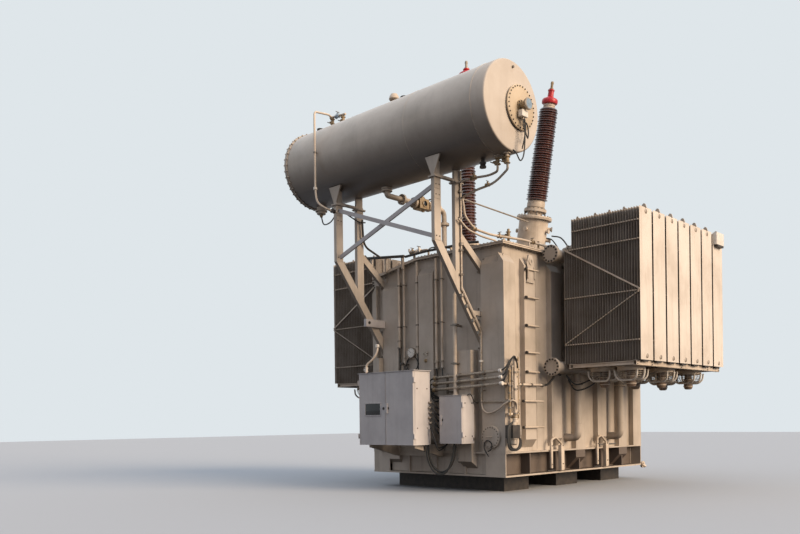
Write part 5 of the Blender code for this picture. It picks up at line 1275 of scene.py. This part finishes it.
def coverDetails():
    parts = rimBolts()
    parts += [
        pipe([(-2.42, -1.628, 4.355), (2.42, -1.628, 4.355)], 0.003, darkSteel, None, 6),
        pipe([(-2.422, 0.425, 4.355), (-2.422, -1.626, 4.355)], 0.003, darkSteel, None, 6)]
    # dark drain pipes along the end, with their legs
    parts += [
        pipe([(-2.46, 0.7, 4.44), (-2.46, 1.74, 4.55), (-2.46, 1.78, 4.6)], 0.028, darkSteel, 0.1, 12),
        pipe([(-2.995, 1.28, 5.15), (-2.99, 1.28, 5.0), (-2.96, 1.28, 4.65), (-2.5, 1.3, 4.5)], 0.02,
            darkSteel, 0.15, 12)]
    for y in (0.75, 1.2, 1.6):
        parts += [block((-2.47, y - 0.02, 4.2), (-2.42, y + 0.02, 4.46 + (y - 0.75) * 0.1), bodyPaint,
            0.003)]
    parts += [pipe([(-2.4, 0.72, 4.44), (-2.38, 0.2, 4.47), (-2.38, -0.9, 4.46), (-2.38, -1.05, 4.44)],
        0.024, darkSteel, 0.12, 12)]
    for y in (0.5, -0.1, -0.7):
        parts += [block((-2.4, y - 0.015, 4.38), (-2.36, y + 0.015, 4.45), boltSteel, 0.002)]
    # small valves, vents and their pipes
    for place, axis, size, finish in (((-2.25, 0.5, 4.53), (0, 1, 0), 0.05, labelWhite),
            ((-2.2, 0.72, 4.55), (0, 1, 0), 0.045, relayGold),
            ((-2.15, -0.35, 4.5), (1, 0, 0), 0.045, relayGold),
            ((-1.75, -1.25, 4.64), upward, 0.05, relayGold)):
        parts += [*valve(place, axis, size, finish)]
    parts += [
        pipe([(-2.25, 0.25, 4.38), (-2.25, 0.25, 4.53), (-2.25, 0.75, 4.55), (-2.2, 0.8, 4.62)], 0.02,
            palePaint, 0.06, 10),
        pipe([(-2.2, 0.66, 4.37), (-2.2, 0.66, 4.56)], 0.02, palePaint, None, 10),
        pipe([(-2.3, -0.35, 4.38), (-2.3, -0.35, 4.5), (-1.9, -0.35, 4.5), (-1.9, -0.35, 4.38)], 0.022,
            palePaint, 0.06, 10),
        post(-1.75, -1.25, 4.38, 4.74, 0.024, relayGold, 14),
        post(-0.95, -1.35, 4.38, 4.62, 0.02, relayGold, 14)]
    for k in range(4):  # earthing cables and control cables over the cover
        parts += [cable([(-2.42, -0.2 + 0.12 * k, 4.45), (-2.2, -0.25 + 0.12 * k, 4.5 + 0.02 * k),
            (-1.9, -0.5, 4.44), (-1.4 + 0.1 * k, -0.9, 4.42), (-0.7, -1.15 + 0.03 * k, 4.42)], 0.012)]
    parts += [
        cable([(0.1, -0.95, 4.95), (0.22, -1.1, 4.9), (0.2, -1.3, 4.65), (0.1, -1.45, 4.5),
            (0.1, -1.6, 4.42)], 0.014),
        cable([(-0.1, -0.95, 4.88), (-0.12, -1.12, 4.8), (-0.3, -1.4, 4.5), (-0.6, -1.5, 4.42)], 0.012)]
    hatch = [(0, 0), (0.19, 0), (0.19, 0.02), (0.17, 0.045), (0, 0.045)]
    for x, y in ((1.1, -0.9), (1.9, 0.2), (-0.5, 0.9), (0.9, 0.75)):  # covers over access holes
        z = cover["top"] + cover["slope"] * max(y - cover["fold"], 0)
        parts += [
            lathe(hatch, (x, y, z), upward, bodyPaint, 40),
            boltRing("tiny", 0.165, 12, (x, y, z + 0.044), upward)]
    join("coverDetails", parts)


coverDetails()


sides = {"wall": 1.527, "stiffener": 1.625, "rungs": (3.95, 3.45, 2.95, 2.47, 2.125, 1.605, 1.14),
    "ladder": -1.62, "rung": 0.017, "posts": (-1.0, 0.62), "seams": (-1.95, -1.32, 1.2, 2.05),
    "lugs": (-1.646, 1.646)}


def liftingLug(x, side):  # ear on a stiffener's face, bent out at the top
    y = side * sides["stiffener"]
    plate = [(x - 0.11, 3.72), (x + 0.11, 3.72), (x + 0.11, 4.06), (x + 0.05, 4.22), (x - 0.05, 4.22),
        (x - 0.11, 4.06)]
    low, high = sorted((y - side * 0.002, y + side * 0.028))
    cheek = [(y, 3.75), (y + side * 0.05, 3.8), (y + side * 0.05, 3.98), (y, 4.1)]
    return [extruded(plate, low, high, "y", bodyPaint, 0.004),
        collar(0.03, 0.06, 0.04, (x, y, 4.1), (0, side, 0), bodyPaint, 24),
        *[extruded(cheek, x + dx - 0.01, x + dx + 0.01, "x", bodyPaint, 0.002) for dx in (-0.1, 0.1)]]


def longSide(side):
    face, middle = side * sides["stiffener"], sides["ladder"]
    parts = [piece for x in sides["lugs"] for piece in liftingLug(x, side)]
    y = face + side * 0.04
    for z in sides["rungs"]:  # ladder rungs on the second stiffener, with dark bolts at their ends
        half = 0.19 if z > 2 else 0.31
        parts += [
            bar((middle - half, y, z), (middle + half, y, z), sides["rung"], palePaint, 12),
            bar((middle - half - 0.02, y, z), (middle - half + 0.02, y, z), 0.027, darkSteel, 10),
            *[bar((middle + dx, face, z), (middle + dx, y, z), 0.013, palePaint, 8) for dx in (-0.12, 0.12)]
        ]
    y = face + side * 0.035
    for x in sides["posts"]:  # hooked posts in front of the ledge, in pairs
        hook = [(x - 0.07, y, 0.84), (x - 0.06, y, 0.9), (x + 0.07, y, 0.95), (x + 0.27, y, 0.82),
            (x + 0.27, y, 0.76)]
        parts += [
            block((x - 0.095, y - 0.02, 0.38), (x - 0.045, y + 0.02, 0.86), palePaint, 0.006),
            block((x + 0.215, y - 0.035, 0.33), (x + 0.315, y + 0.035, 0.8), palePaint, 0.006),
            pipe(hook, 0.022, palePaint, 0.05, 10),
            *[boltRow("tiny", (x - 0.07, y + side * 0.02, z), (x + 0.265, y + side * 0.036, z), 2,
                (0, side, 0)) for z in (0.79, 0.45)],
            bar((x - 0.2, y, 0.34), (x + 0.02, y, 0.34), 0.014, darkSteel, 8)]
    parts += [bar((0.63, face + side * 0.03, 0.77), (1.27, face + side * 0.03, 0.77), 0.016, boltSteel, 10)]
    for x in sides["seams"]:  # weld seams of the wall plates
        parts += [block((x - 0.006, side * 1.522, 0.75), (x + 0.006, side * 1.53, 4.0), bodyPaint, 0.0015)]
    ring = [(2.42, face + side * 0.01, 0.3), (2.52, face + side * 0.02, 0.25), (2.59, face, 0.25)]
    parts += [pipe(ring, 0.03, palePaint, 0.04, 12),  # earthing lug at the base's far end
        clampRing(0.035, 0.07, 0.02, (2.48, face, 0.29), (0, side, 0), palePaint, 24)]
    return parts


oil = {"y": 1.795, "radius": 0.11, "blank": 0.165, "before": 0.2, "reach": 3.402,
    "branches": (-0.37, 1.22), "upper": {"z": 4.28, "rise": 0.13, "stub": 2.05, "branch": 0.08,
    "bend": 0.02}, "lower": {"z": 2.23, "rise": 0.09, "stub": 1.93, "branch": 0.075, "bend": 0.18}}


def collectors(name, side):  # both oil collectors of a bank, with valves, elbows and blank flanges
    first, drop = bank["starts"][name], bank["farDrop"] if name == "far" else 0
    y, start, end = side * oil["y"], first - oil["before"], first + oil["reach"]
    r, blank = oil["radius"], oil["blank"]
    flange = [(0, -0.035), (blank - 0.005, -0.035), (blank, -0.03), (blank, -0.004), (blank - 0.005, 0),
        (blank, 0.004), (blank, 0.03), (r, 0.034)]
    seams = [(r + swell, at + along) for at in (1.2, 2.4) for swell,
        along in ((0, 0), (0.003, 0.003), (0, 0.006))]
    profile = flange + seams + [(r, end - start - 0.03), (0.08, end - start), (0, end - start)]
    for level in ("upper", "lower"):
        look = oil[level]
        z, rise, radius = look["z"] - drop, look["rise"], look["branch"]
        parts = [
            lathe(profile, (start, y, z), (1, 0, 0), bodyPaint, 56),
            boltRing("small", 0.138, 14, (start - 0.035, y, z), (-1, 0, 0), darkSteel),
            boltRing("small", 0.138, 14, (start + 0.03, y, z), (1, 0, 0), darkSteel)]
        for index in range(bank["count"]):  # stubs to the radiators, each with a valve's lever
            x, flat, high = first + index * bank["pitch"] + bank["width"] / 2, y + side * 0.1, z + rise
            parts += [
                pipe([(x, y, z), (x, y, high), (x, side * look["stub"], high)], 0.04, bodyPaint, 0.03, 20),
                *pipeFlange((x, flat, high), (0, 1, 0), 0.07, 0.012, 6),
                bar((x + 0.06, flat, high + 0.06), (x + 0.11, flat, high + 0.09), 0.01, boltSteel, 8)]
        foot = 0.93 if level == "lower" else 4.23 if side < 0 else 4.03
        for x in oil["branches"]:  # elbows into the tank's wall
            parts += [pipe([(x, side * sides["wall"], foot), (x, y, foot), (x, y, z)], radius, bodyPaint,
                look["bend"], 32)]
            if level == "upper":
                parts += [*pipeFlange((x, side * 1.63, foot), (0, 1, 0), 0.12, 0.016, 8)]
            else:
                parts += [
                    *pipeFlange((x, y, z - 0.28), upward, 0.12, 0.018, 10),
                    lathe([(radius, -0.003), (radius + 0.004, 0), (radius, 0.003)], (x, y, 1.2), upward,
                        bodyPaint, 32)]
        if level == "lower":
            for low, deep in ((1.93, 1.95), (1.82, 1.86)):
                parts += [cable([(-0.75, y, 2.1 - drop), (-0.6, y + side * 0.05, deep - drop),
                    (-0.45, y + side * 0.1, low - drop), (-0.2, y + side * 0.2, low + 0.09 - drop),
                    (0.05, y + side * 0.3, 2.11 - drop)], 0.014)]
        join(name + level.capitalize() + "Collector", parts, replaced=(name + "_" + level + "_collector",))


for side, name in ((-1, "near"), (1, "far")):
    join(name + "SideDetails", longSide(side))
    collectors(name, side)
print("cover and sides built")


fans = {"near": {"outward": -1, "middle": 0.697}, "far": {"outward": 1, "middle": -0.149}, "ring": 0.245,
    "ringLow": 2.127, "ringTop": 2.2, "motorLow": 1.84, "wires": 6, "spokes": 16, "blades": 6,
    "basket": 0.16, "columns": (-1.15, 0, 1.15), "rows": (-0.265, 0.265)}
tray = {"y": 2.686, "half": 0.63, "length": 1.7, "top": 2.2767, "bottom": 2.1867,
    "ties": (-1.67, -1.15, 0, 1.15, 1.67)}
blade = {"root": 0.06, "length": 0.165, "pitch": 38, "twist": 14, "half": 0.045, "flare": 0.02, "steps": 5,
    "sheet": 0.004}


def fanBlade():
    shape = bmesh.new()
    rows = []
    for i in range(blade["steps"] + 1):
        t = i / blade["steps"]
        r, pitch = blade["root"] + blade["length"] * t, math.radians(blade["pitch"] - blade["twist"] * t)
        half = blade["half"] + blade["flare"] * t
        rows += [[shape.verts.new((r, c * half * math.cos(pitch), c * half * math.sin(pitch)))
            for c in (-1, -0.33, 0.33, 1)]]
    for one, two in zip(rows, rows[1:]):
        for k in range(3):
            shape.faces.new((one[k], two[k], two[k + 1], one[k + 1]))
    bmesh.ops.recalc_face_normals(shape, faces=shape.faces)
    top = bmesh.ops.extrude_face_region(shape, geom=list(shape.faces))
    moved = [v for v in top["geom"] if isinstance(v, bmesh.types.BMVert)]
    bmesh.ops.translate(shape, vec=(0, 0, blade["sheet"]), verts=moved)
    bmesh.ops.recalc_face_normals(shape, faces=shape.faces)
    return fromBmesh("blade", shape, galvanised)


def spun(source, count, place):  # copies of a part round one point
    copies = inARing(source, 0.0001, count, place, upward, galvanised)
    bpy.data.objects.remove(source)
    return copies


def fanParts(x, y, outward):
    low, top, ring, motor = fans["ringLow"], fans["ringTop"], fans["ring"], fans["motorLow"]
    deep, thin = low - 0.17, 0.003
    hoop = [(ring - 0.02, low), (ring + 0.012, low), (ring + 0.012, low + 0.006), (ring, low + 0.01),
        (ring, top - 0.006), (ring + 0.016, top), (ring + 0.016, top + 0.01), (ring - 0.02, top + 0.01)]
    hub = [(0, 0), (0.055, 0), (0.06, 0.01), (0.06, 0.05), (0.05, 0.06), (0, 0.06)]
    parts = [
        lathe(hoop, (x, y, 0), upward, palePaint, 40),
        lathe(hub, (x, y, low + 0.005), upward, galvanised, 24),
        spun(fanBlade(), fans["blades"], (x, y, low + 0.035))]
    for i in range(fans["wires"]):  # concentric wires of the basket below, then its spokes
        t = i / (fans["wires"] - 1)
        radius = ring * (1.0 - 0.55 * t * t)
        profile = [(radius - thin, -thin), (radius + thin, -thin), (radius + thin, thin),
            (radius - thin, thin), (radius - thin, -thin)]
        parts += [lathe(profile, (x, y, low - fans["basket"] * t), upward, galvanised, 32)]
    spoke = [(ring, 0, 0), (ring * 0.95, 0, -0.06), (ring * 0.78, 0, -0.12), (ring * 0.45, 0, -0.16)]
    parts += [spun(pipe(spoke, thin, galvanised, None, 6), fans["spokes"], (x, y, low))]
    for dy in (-0.13, 0.13):  # pale hoops that carry the motor under the ring
        half = [(0.125, low + 0.03), (0.125, low - 0.05), (0.09, deep + 0.02)]
        route = [(x, y + dy - a, z) for a, z in half] + [(x, y + dy + a, z) for a, z in reversed(half)]
        parts += [pipe(route, 0.019, labelWhite, 0.03, 8)]
    for dx in (-0.2, 0.2):
        half = [(1, 0.22, low + 0.02), (0.95, 0.21, low - 0.1), (0.8, 0.14, deep)]
        route = [(x + dx * f, y - a, z) for f, a, z in half] + [(x + dx * f, y + a, z) for f, a,
            z in reversed(half)]
        parts += [pipe(route, 0.017, labelWhite, 0.04, 8)]
    case = [(0, 0), (0.05, 0), (0.07, 0.012), (0.08, 0.035), (0.085, 0.05), (0.085, 0.2), (0.07, 0.22),
        (0.07, low + 0.01 - motor), (0, low + 0.01 - motor)]
    parts += [
        lathe(case, (x, y, motor), upward, motorPaint, 32),
        *[collar(0.084, 0.092, 0.012, (x, y, motor + z), upward, palePaint, 32) for z in (0.055, 0.185)],
        block((x + 0.075, y - 0.04, motor + 0.08), (x + 0.13, y + 0.04, motor + 0.15), darkSteel, 0.008),
        cable([(x + 0.12, y, motor + 0.1), (x + 0.19, y - outward * 0.03, motor + 0.04),
            (x + 0.25, y - outward * 0.08, motor + 0.06), (x + 0.28, y - outward * 0.15, motor + 0.2),
            (x + 0.29, y - outward * 0.2, low + 0.04)], 0.012)]
    return parts


def fanTray(name):
    outward, middle = fans[name]["outward"], fans[name]["middle"]
    y0, top, bottom, length = outward * tray["y"], tray["top"], tray["bottom"], tray["length"]
    parts = []

    def strip(x0, x1, y1, y2, low, high, bevel=0.002):
        parts.append(block((middle + x0, y0 + y1, low), (middle + x1, y0 + y2, high), palePaint, bevel))

    for way in (-1, 1):  # channels along the bank: web and two flanges
        face = way * (tray["half"] + 0.03)
        inner = face - way * 0.06
        strip(-length, length, face, face - way * 0.009, bottom, top)
        strip(-length, length, face, inner, bottom, bottom + 0.01)
        strip(-length, length, face, inner, top - 0.01, top)
    for dx in tray["ties"]:  # cross ties between them, bolted at both ends
        strip(dx - 0.03, dx + 0.03, -0.6, 0.6, bottom + 0.012, bottom + 0.022)
        strip(dx - 0.03, dx + 0.03, -0.6, 0.6, top - 0.022, top - 0.012)
        strip(dx - 0.005, dx + 0.005, -0.6, 0.6, bottom + 0.02, top - 0.02, 0.001)
        for way in (-1, 1):
            x, y = middle + dx, y0 + way * (tray["half"] + 0.031)
            parts += [boltRow("tiny", (x, y, bottom + 0.025), (x, y, top - 0.025), 2, (0, way, 0))]
    for dx in fans["columns"]:
        for dy in fans["rows"]:
            parts += [*fanParts(middle + dx, y0 + dy, outward)]
            for ex in (dx - 0.25, dx + 0.25):
                strip(ex - 0.02, ex + 0.02, dy - 0.02, dy + 0.02, 2.185, 2.2)
    if name == "far":
        placedOn(parts, Matrix.Translation((0, 0, -bank["farDrop"])))
    join(name + "FanTray", parts, replaced=(name + "_fan_tray",))


fanTray("near")
fanTray("far")
print("fan trays built")


cabinet = {"front": -3.342, "back": -2.902, "low": -0.325, "high": 1.053, "bottom": 0.848, "top": 2.163,
    "split": 0.361}
cabinetWindow = {"edges": (0.495, 0.885, 1.395, 1.604), "frame": 0.018, "screws": 8}
smallBox = {"front": -2.87, "back": -2.53, "low": -1.03, "high": -0.52, "bottom": 0.87, "top": 1.71}


def cabinetBodyDetails():
    c = cabinet
    front, back, low, high, bottom, top = (c[key] for key in ("front", "back", "low", "high", "bottom",
        "top"))
    # rain roof with a drip edge all round, bolts, and the folded edges of the side wall
    parts = [block((front - 0.012, low - 0.03, top + 0.001), (back + 0.012, high + 0.03, top + 0.013),
        cabinetPaint, 0.004)]
    for z in (1.15, 1.85):
        parts += [boltRow("tiny", (front + 0.1, low - 0.0005, z), (back - 0.08, low - 0.0005, z), 2,
            (0, -1, 0))]
    for x in (front + 0.06, back - 0.02):
        parts += [block((x - 0.006, low - 0.004, bottom + 0.02), (x + 0.006, low + 0.001, top - 0.02),
            cabinetPaint, 0.0015)]
    for k in range(5):  # cable glands and cables out of the side wall, over to the small cabinet
        x, z, drop = -2.93 - 0.012 * (k % 2), 1.6 - 0.09 * k, 0.1 + 0.02 * k
        parts += [
            bar((x, low + 0.002, z), (x, low - 0.035, z), 0.026, galvanised, 6),
            bar((x, low - 0.035, z), (x, low - 0.06, z), 0.02, galvanised, 12),
            cable([(x, low - 0.04, z), (x + 0.03, low - 0.09, z - 0.03), (x + 0.1, low - 0.12, z - drop),
                (x + 0.2, low - 0.14, z - drop - 0.02), (-2.64, smallBox["high"] + 0.02, 1.36 - 0.06 * k)],
                0.016)]
    for k in range(2):
        parts += [cable([(-2.94, low - 0.04, 1.15 - 0.03 * k), (-2.95, low - 0.1, 1.05),
            (-2.93, low - 0.13 - 0.02 * k, 0.9), (-2.86, low - 0.16, 0.8 - 0.05 * k),
            (-2.7, low - 0.2, 0.84), (-2.66, low - 0.22, 0.93)], 0.014)]
    cheek = [(-3.2, 0.846), (-2.43, 0.846), (-2.43, 0.62), (-2.5, 0.62), (-3.2, 0.8)]
    for y in (-0.185, 0.913):  # sloped bracket cheeks under the cabinet
        parts += [extruded(cheek, y + dy - 0.003, y + dy + 0.003, "y", bodyPaint, 0.001)
            for dy in (-0.03, 0.03)]
    parts += [*cabinetInside(c, 5)]
    join("cabinetDetails", parts)


inside = {"plate": 0.06, "margin": 0.1, "narrow": (0.022, 0.026, 0.03), "wide": (0.07, 0.08, 0.05)}


def cabinetInside(box, rows):  # mounting plate, wiring ducts and rows of relays on their rails
    low, high, bottom, top = box["low"], box["high"], box["bottom"], box["top"]
    plate = box["back"] - inside["plate"]
    parts = [block((plate, low + 0.05, bottom + 0.06), (plate + 0.004, high - 0.05, top - 0.06),
        labelWhite, 0.001)]
    margin = inside["margin"]
    step = (top - bottom - 2 * margin) / rows
    for row in range(rows):
        z = bottom + margin + step * (row + 0.5)
        width, pitch, tall = inside["narrow"] if row % 2 else inside["wide"]
        finish = palePaint if row % 2 else darkSteel
        parts += [
            block((plate - 0.05, low + 0.06, z - step * 0.46), (plate, high - 0.06, z - step * 0.3),
                galvanised, 0.003),
            block((plate - 0.012, low + 0.07, z - 0.017), (plate, high - 0.07, z + 0.017), boltSteel, 0.001)
        ]
        relay = block((plate - 0.075, 0, z - tall), (plate - 0.012, width, z + tall), finish, 0.002)
        count = int((high - low - 2 * margin) / pitch)
        parts += [inARow(relay, (0, low + margin, 0), (0, width * 1.16, 0), count, finish)]
        bpy.data.objects.remove(relay)
    return parts


def doorDetails(name, box, low, high, body, handle, window=None):
    # folded rim, gasket, handle and two plugs; the window has a frame, screws and dark glass
    front, bottom, top = box["front"], box["bottom"], box["top"]
    rim, gasket, inside = 0.004, 0.04, front + 0.0275
    parts = rimBlocks((front - 0.004, front + 0.006), (low + rim, high - rim, bottom + rim, top - rim),
        0.006, cabinetPaint, 0.002)
    parts += [
        *rimBlocks((inside - 0.001, inside + 0.004), (low + gasket, high - gasket, bottom + gasket,
            top - gasket), 0.012, cableRubber, 0.001),
        lathe([(0, 0), (0.026, 0), (0.026, 0.006), (0.018, 0.01), (0, 0.01)], (front, *handle), (-1, 0, 0),
            darkSteel, 24)]
    for spot in (bottom + 0.1, top - 0.1):
        parts += [lathe([(0, 0), (0.011, 0), (0.011, 0.003), (0, 0.005)],
            (front - 0.0005, (low + high) / 2, spot), (-1, 0, 0), cabinetPaint, 16)]
    if window:
        edges, width = window["edges"], window["frame"]
        left, right, sill, lintel = edges
        grown = (left - width, right + width, sill - width, lintel + width)
        parts += [
            *rimBlocks((front - 0.008, front + 0.003), grown, width, cabinetPaint, 0.002, width),
            block((front - 0.003, left, sill), (front + 0.001, right, lintel), darkGlass, 0.001)]
        for k in range(window["screws"]):
            y = left - width / 2 + (right - left + width) * k / (window["screws"] - 1)
            for z in (sill - width / 2, lintel + width / 2):
                parts += [lathe([(0, 0), (0.004, 0), (0.004, 0.002), (0, 0.003)], (front - 0.008, y, z),
                    (-1, 0, 0), boltSteel, 8)]
    join(name, parts, body)


riser = {"x": -2.57, "y": -0.645, "radius": 0.036, "clips": (2.99, 2.3)}


def smallBoxDetails():
    b = smallBox
    front, back, low, high, bottom, top = (b[key] for key in ("front", "back", "low", "high", "bottom",
        "top"))
    parts = [block((front - 0.01, low - 0.02, top + 0.001), (back, high + 0.02, top + 0.011), cabinetPaint,
        0.003)]
    for z in (1.0, 1.58):
        parts += [boltRow("tiny", (front + 0.09, low - 0.0005, z), (back - 0.06, low - 0.0005, z), 2,
            (0, -1, 0))]
    for z in (0.95, 1.62):  # latch tabs on the back edge
        parts += [block((back - 0.03, low - 0.03, z - 0.025), (back - 0.002, low - 0.001, z + 0.025),
            boltSteel, 0.003)]
    parts += [
        cable([(-2.74, low - 0.01, 1.715), (-2.68, low - 0.05, 1.73), (-2.6, low - 0.06, 1.62),
            (-2.5, low - 0.06, 1.58), (-2.46, low - 0.04, 1.6)], 0.01),
        *[post(x, -0.75, bottom + 0.002, bottom - 0.03, 0.02, galvanised, 6)
            for x in (-2.8, -2.72, -2.64, -2.58)],
        *cabinetInside(b, 3)]
    join("smallBoxDetails", parts)


def cableConduit():  # on top of the small cabinet, up the wall and into it
    x, y, r = riser["x"], riser["y"], riser["radius"]
    elbow = [(x, y, 3.44), (x, y, 3.52), (x + 0.07, y, 3.6), (x + 0.24, y, 3.6)]
    conduit = [
        pipe([(x, y, 1.71), (x, y, 3.45)], r, palePaint, None, 16),
        collar(r, r + 0.016, 0.04, (x, y, 1.712), upward, palePaint, 20),
        pipe(elbow, r - 0.002, palePaint, 0.08, 14)]
    for z in riser["clips"]:
        conduit += [
            block((x - 0.04, y - 0.075, z - 0.012), (x + 0.04, y + 0.075, z + 0.012), boltSteel, 0.003),
            block((x + 0.01, y + 0.045, z - 0.02), (-2.321, y + 0.065, z + 0.02), boltSteel, 0.003),
            clampRing(r, r + 0.009, 0.02, (x, y, z), upward, boltSteel, 20)]
    join("cableConduit", conduit, replaced=("cable_conduit",))


cord = {"start": (-2.95, -0.27, 0.8475), "step": (0.2, -0.48, 0.0225), "radius": 0.02, "points": 25,
    "sags": ((0.54, 0.0), (0.5, 0.045))}


def hangingCables():  # two heavy cables in a U from under the cabinet to the small one
    (x, y, z), step, loops = cord["start"], cord["step"], []
    for sag, shift in cord["sags"]:
        route = []
        for i in range(cord["points"]):
            turn = i / (cord["points"] - 1)
            along = (1 - math.cos(math.pi * turn)) / 2
            route += [(x + step[0] * along + shift, y + step[1] * along,
                z + step[2] * along - sag * math.sin(math.pi * turn))]
        loops += [pipe(route, cord["radius"], cableRubber, None, 12)]
    join("cableLoop", loops, replaced=("cable_loop",))


def baseEndWebs():  # flush plates that close the base's two ends
    parts = [block((x, -1.19, 0.318), (x * 1.006, 1.19, 0.6995), bodyPaint, 0.002) for x in (-2.335, 2.335)]
    join("baseEndWebs", parts)


cabinetBodyDetails()
nearEdges = (cabinet["low"], cabinet["split"] - 0.003)
farEdges = (cabinet["split"] + 0.003, cabinet["high"])
boxEdges = (smallBox["low"], smallBox["high"])
doorDetails("nearDoorDetails", cabinet, *nearEdges, "near_door", (nearEdges[1] - 0.06, 1.513))
doorDetails("farDoorDetails", cabinet, *farEdges, "far_door", (farEdges[0] + 0.05, 1.513), cabinetWindow)
hangingCables()
baseEndWebs()
doorDetails("boxDoorDetails", smallBox, *boxEdges, "box_door", (boxEdges[1] - 0.06, 1.29))
smallBoxDetails()
cableConduit()
print("cabinets built")


def seenDirectly(tree):  # 1 for camera, mirror and glass rays, else 0
    path = addNode(tree, "ShaderNodeLightPath")
    first = addNode(tree, "ShaderNodeMath", {"operation": "MAXIMUM"},
        {0: path.outputs["Is Camera Ray"], 1: path.outputs["Is Glossy Ray"]})
    return addNode(tree, "ShaderNodeMath", {"operation": "MAXIMUM"},
        {0: first.outputs[0], 1: path.outputs["Is Transmission Ray"]})


stage = {"half": 60, "seen": "#aeb2b6", "unseen": "#2a211b", "sky": "#dfe6ea",
    "air": (0.37, 0.37, 0.41, 1), "lamps": {"lowSun": {"from": (0.14, -0.92, 0.36), "spread": 38,
    "strength": 4.2, "colour": (1.0, 0.78, 0.57)}, "zenithSky": {"from": (0, 0.1, 1), "spread": 110,
    "strength": 1.3, "colour": (0.78, 0.88, 1.0)}}}


def seenOrNot(tree, unseen, seen):  # one colour where it is seen, another for the light that it gives
    return addNode(tree, "ShaderNodeMix", {"data_type": "RGBA", 6: unseen, 7: seen},
        {0: seenDirectly(tree).outputs["Value"]}).outputs[2]


def makeStage():
    mesh = bpy.data.meshes.new("floor")
    shape = bmesh.new()
    bmesh.ops.create_grid(shape, x_segments=1, y_segments=1, size=stage["half"])
    shape.to_mesh(mesh)
    shape.free()
    floor = newObject("floor", mesh)
    material, tree, shader, place = startMaterial("paleFloor")
    shader.inputs["Roughness"].default_value = 0.95
    colour = seenOrNot(tree, toLinear(stage["unseen"]), toLinear(stage["seen"]))
    tree.links.new(colour, shader.inputs["Base Color"])
    mesh.materials.append(material)


def makeLights():
    for name, lamp in stage["lamps"].items():
        data = bpy.data.lights.new(name, "SUN")
        data.energy, data.angle, data.color = lamp["strength"], math.radians(lamp["spread"]), lamp["colour"]
        light = bpy.data.objects.new(name, data)
        light.rotation_euler = Vector(lamp["from"]).normalized().to_track_quat("Z", "Y").to_euler()
        bpy.context.scene.collection.objects.link(light)
    world = bpy.data.worlds.new("world")
    bpy.context.scene.world = world
    world.use_nodes = True
    tree = world.node_tree
    back = tree.nodes["Background"]
    back.inputs["Strength"].default_value = 1.0
    tree.links.new(seenOrNot(tree, stage["air"], toLinear(stage["sky"])), back.inputs["Color"])


for source in list(bolts.values()) + [finTall, finShort]:
    bpy.data.objects.remove(source)
makeCamera()
makeStage()
makeLights()
bpy.context.scene.view_settings.view_transform = "Standard"
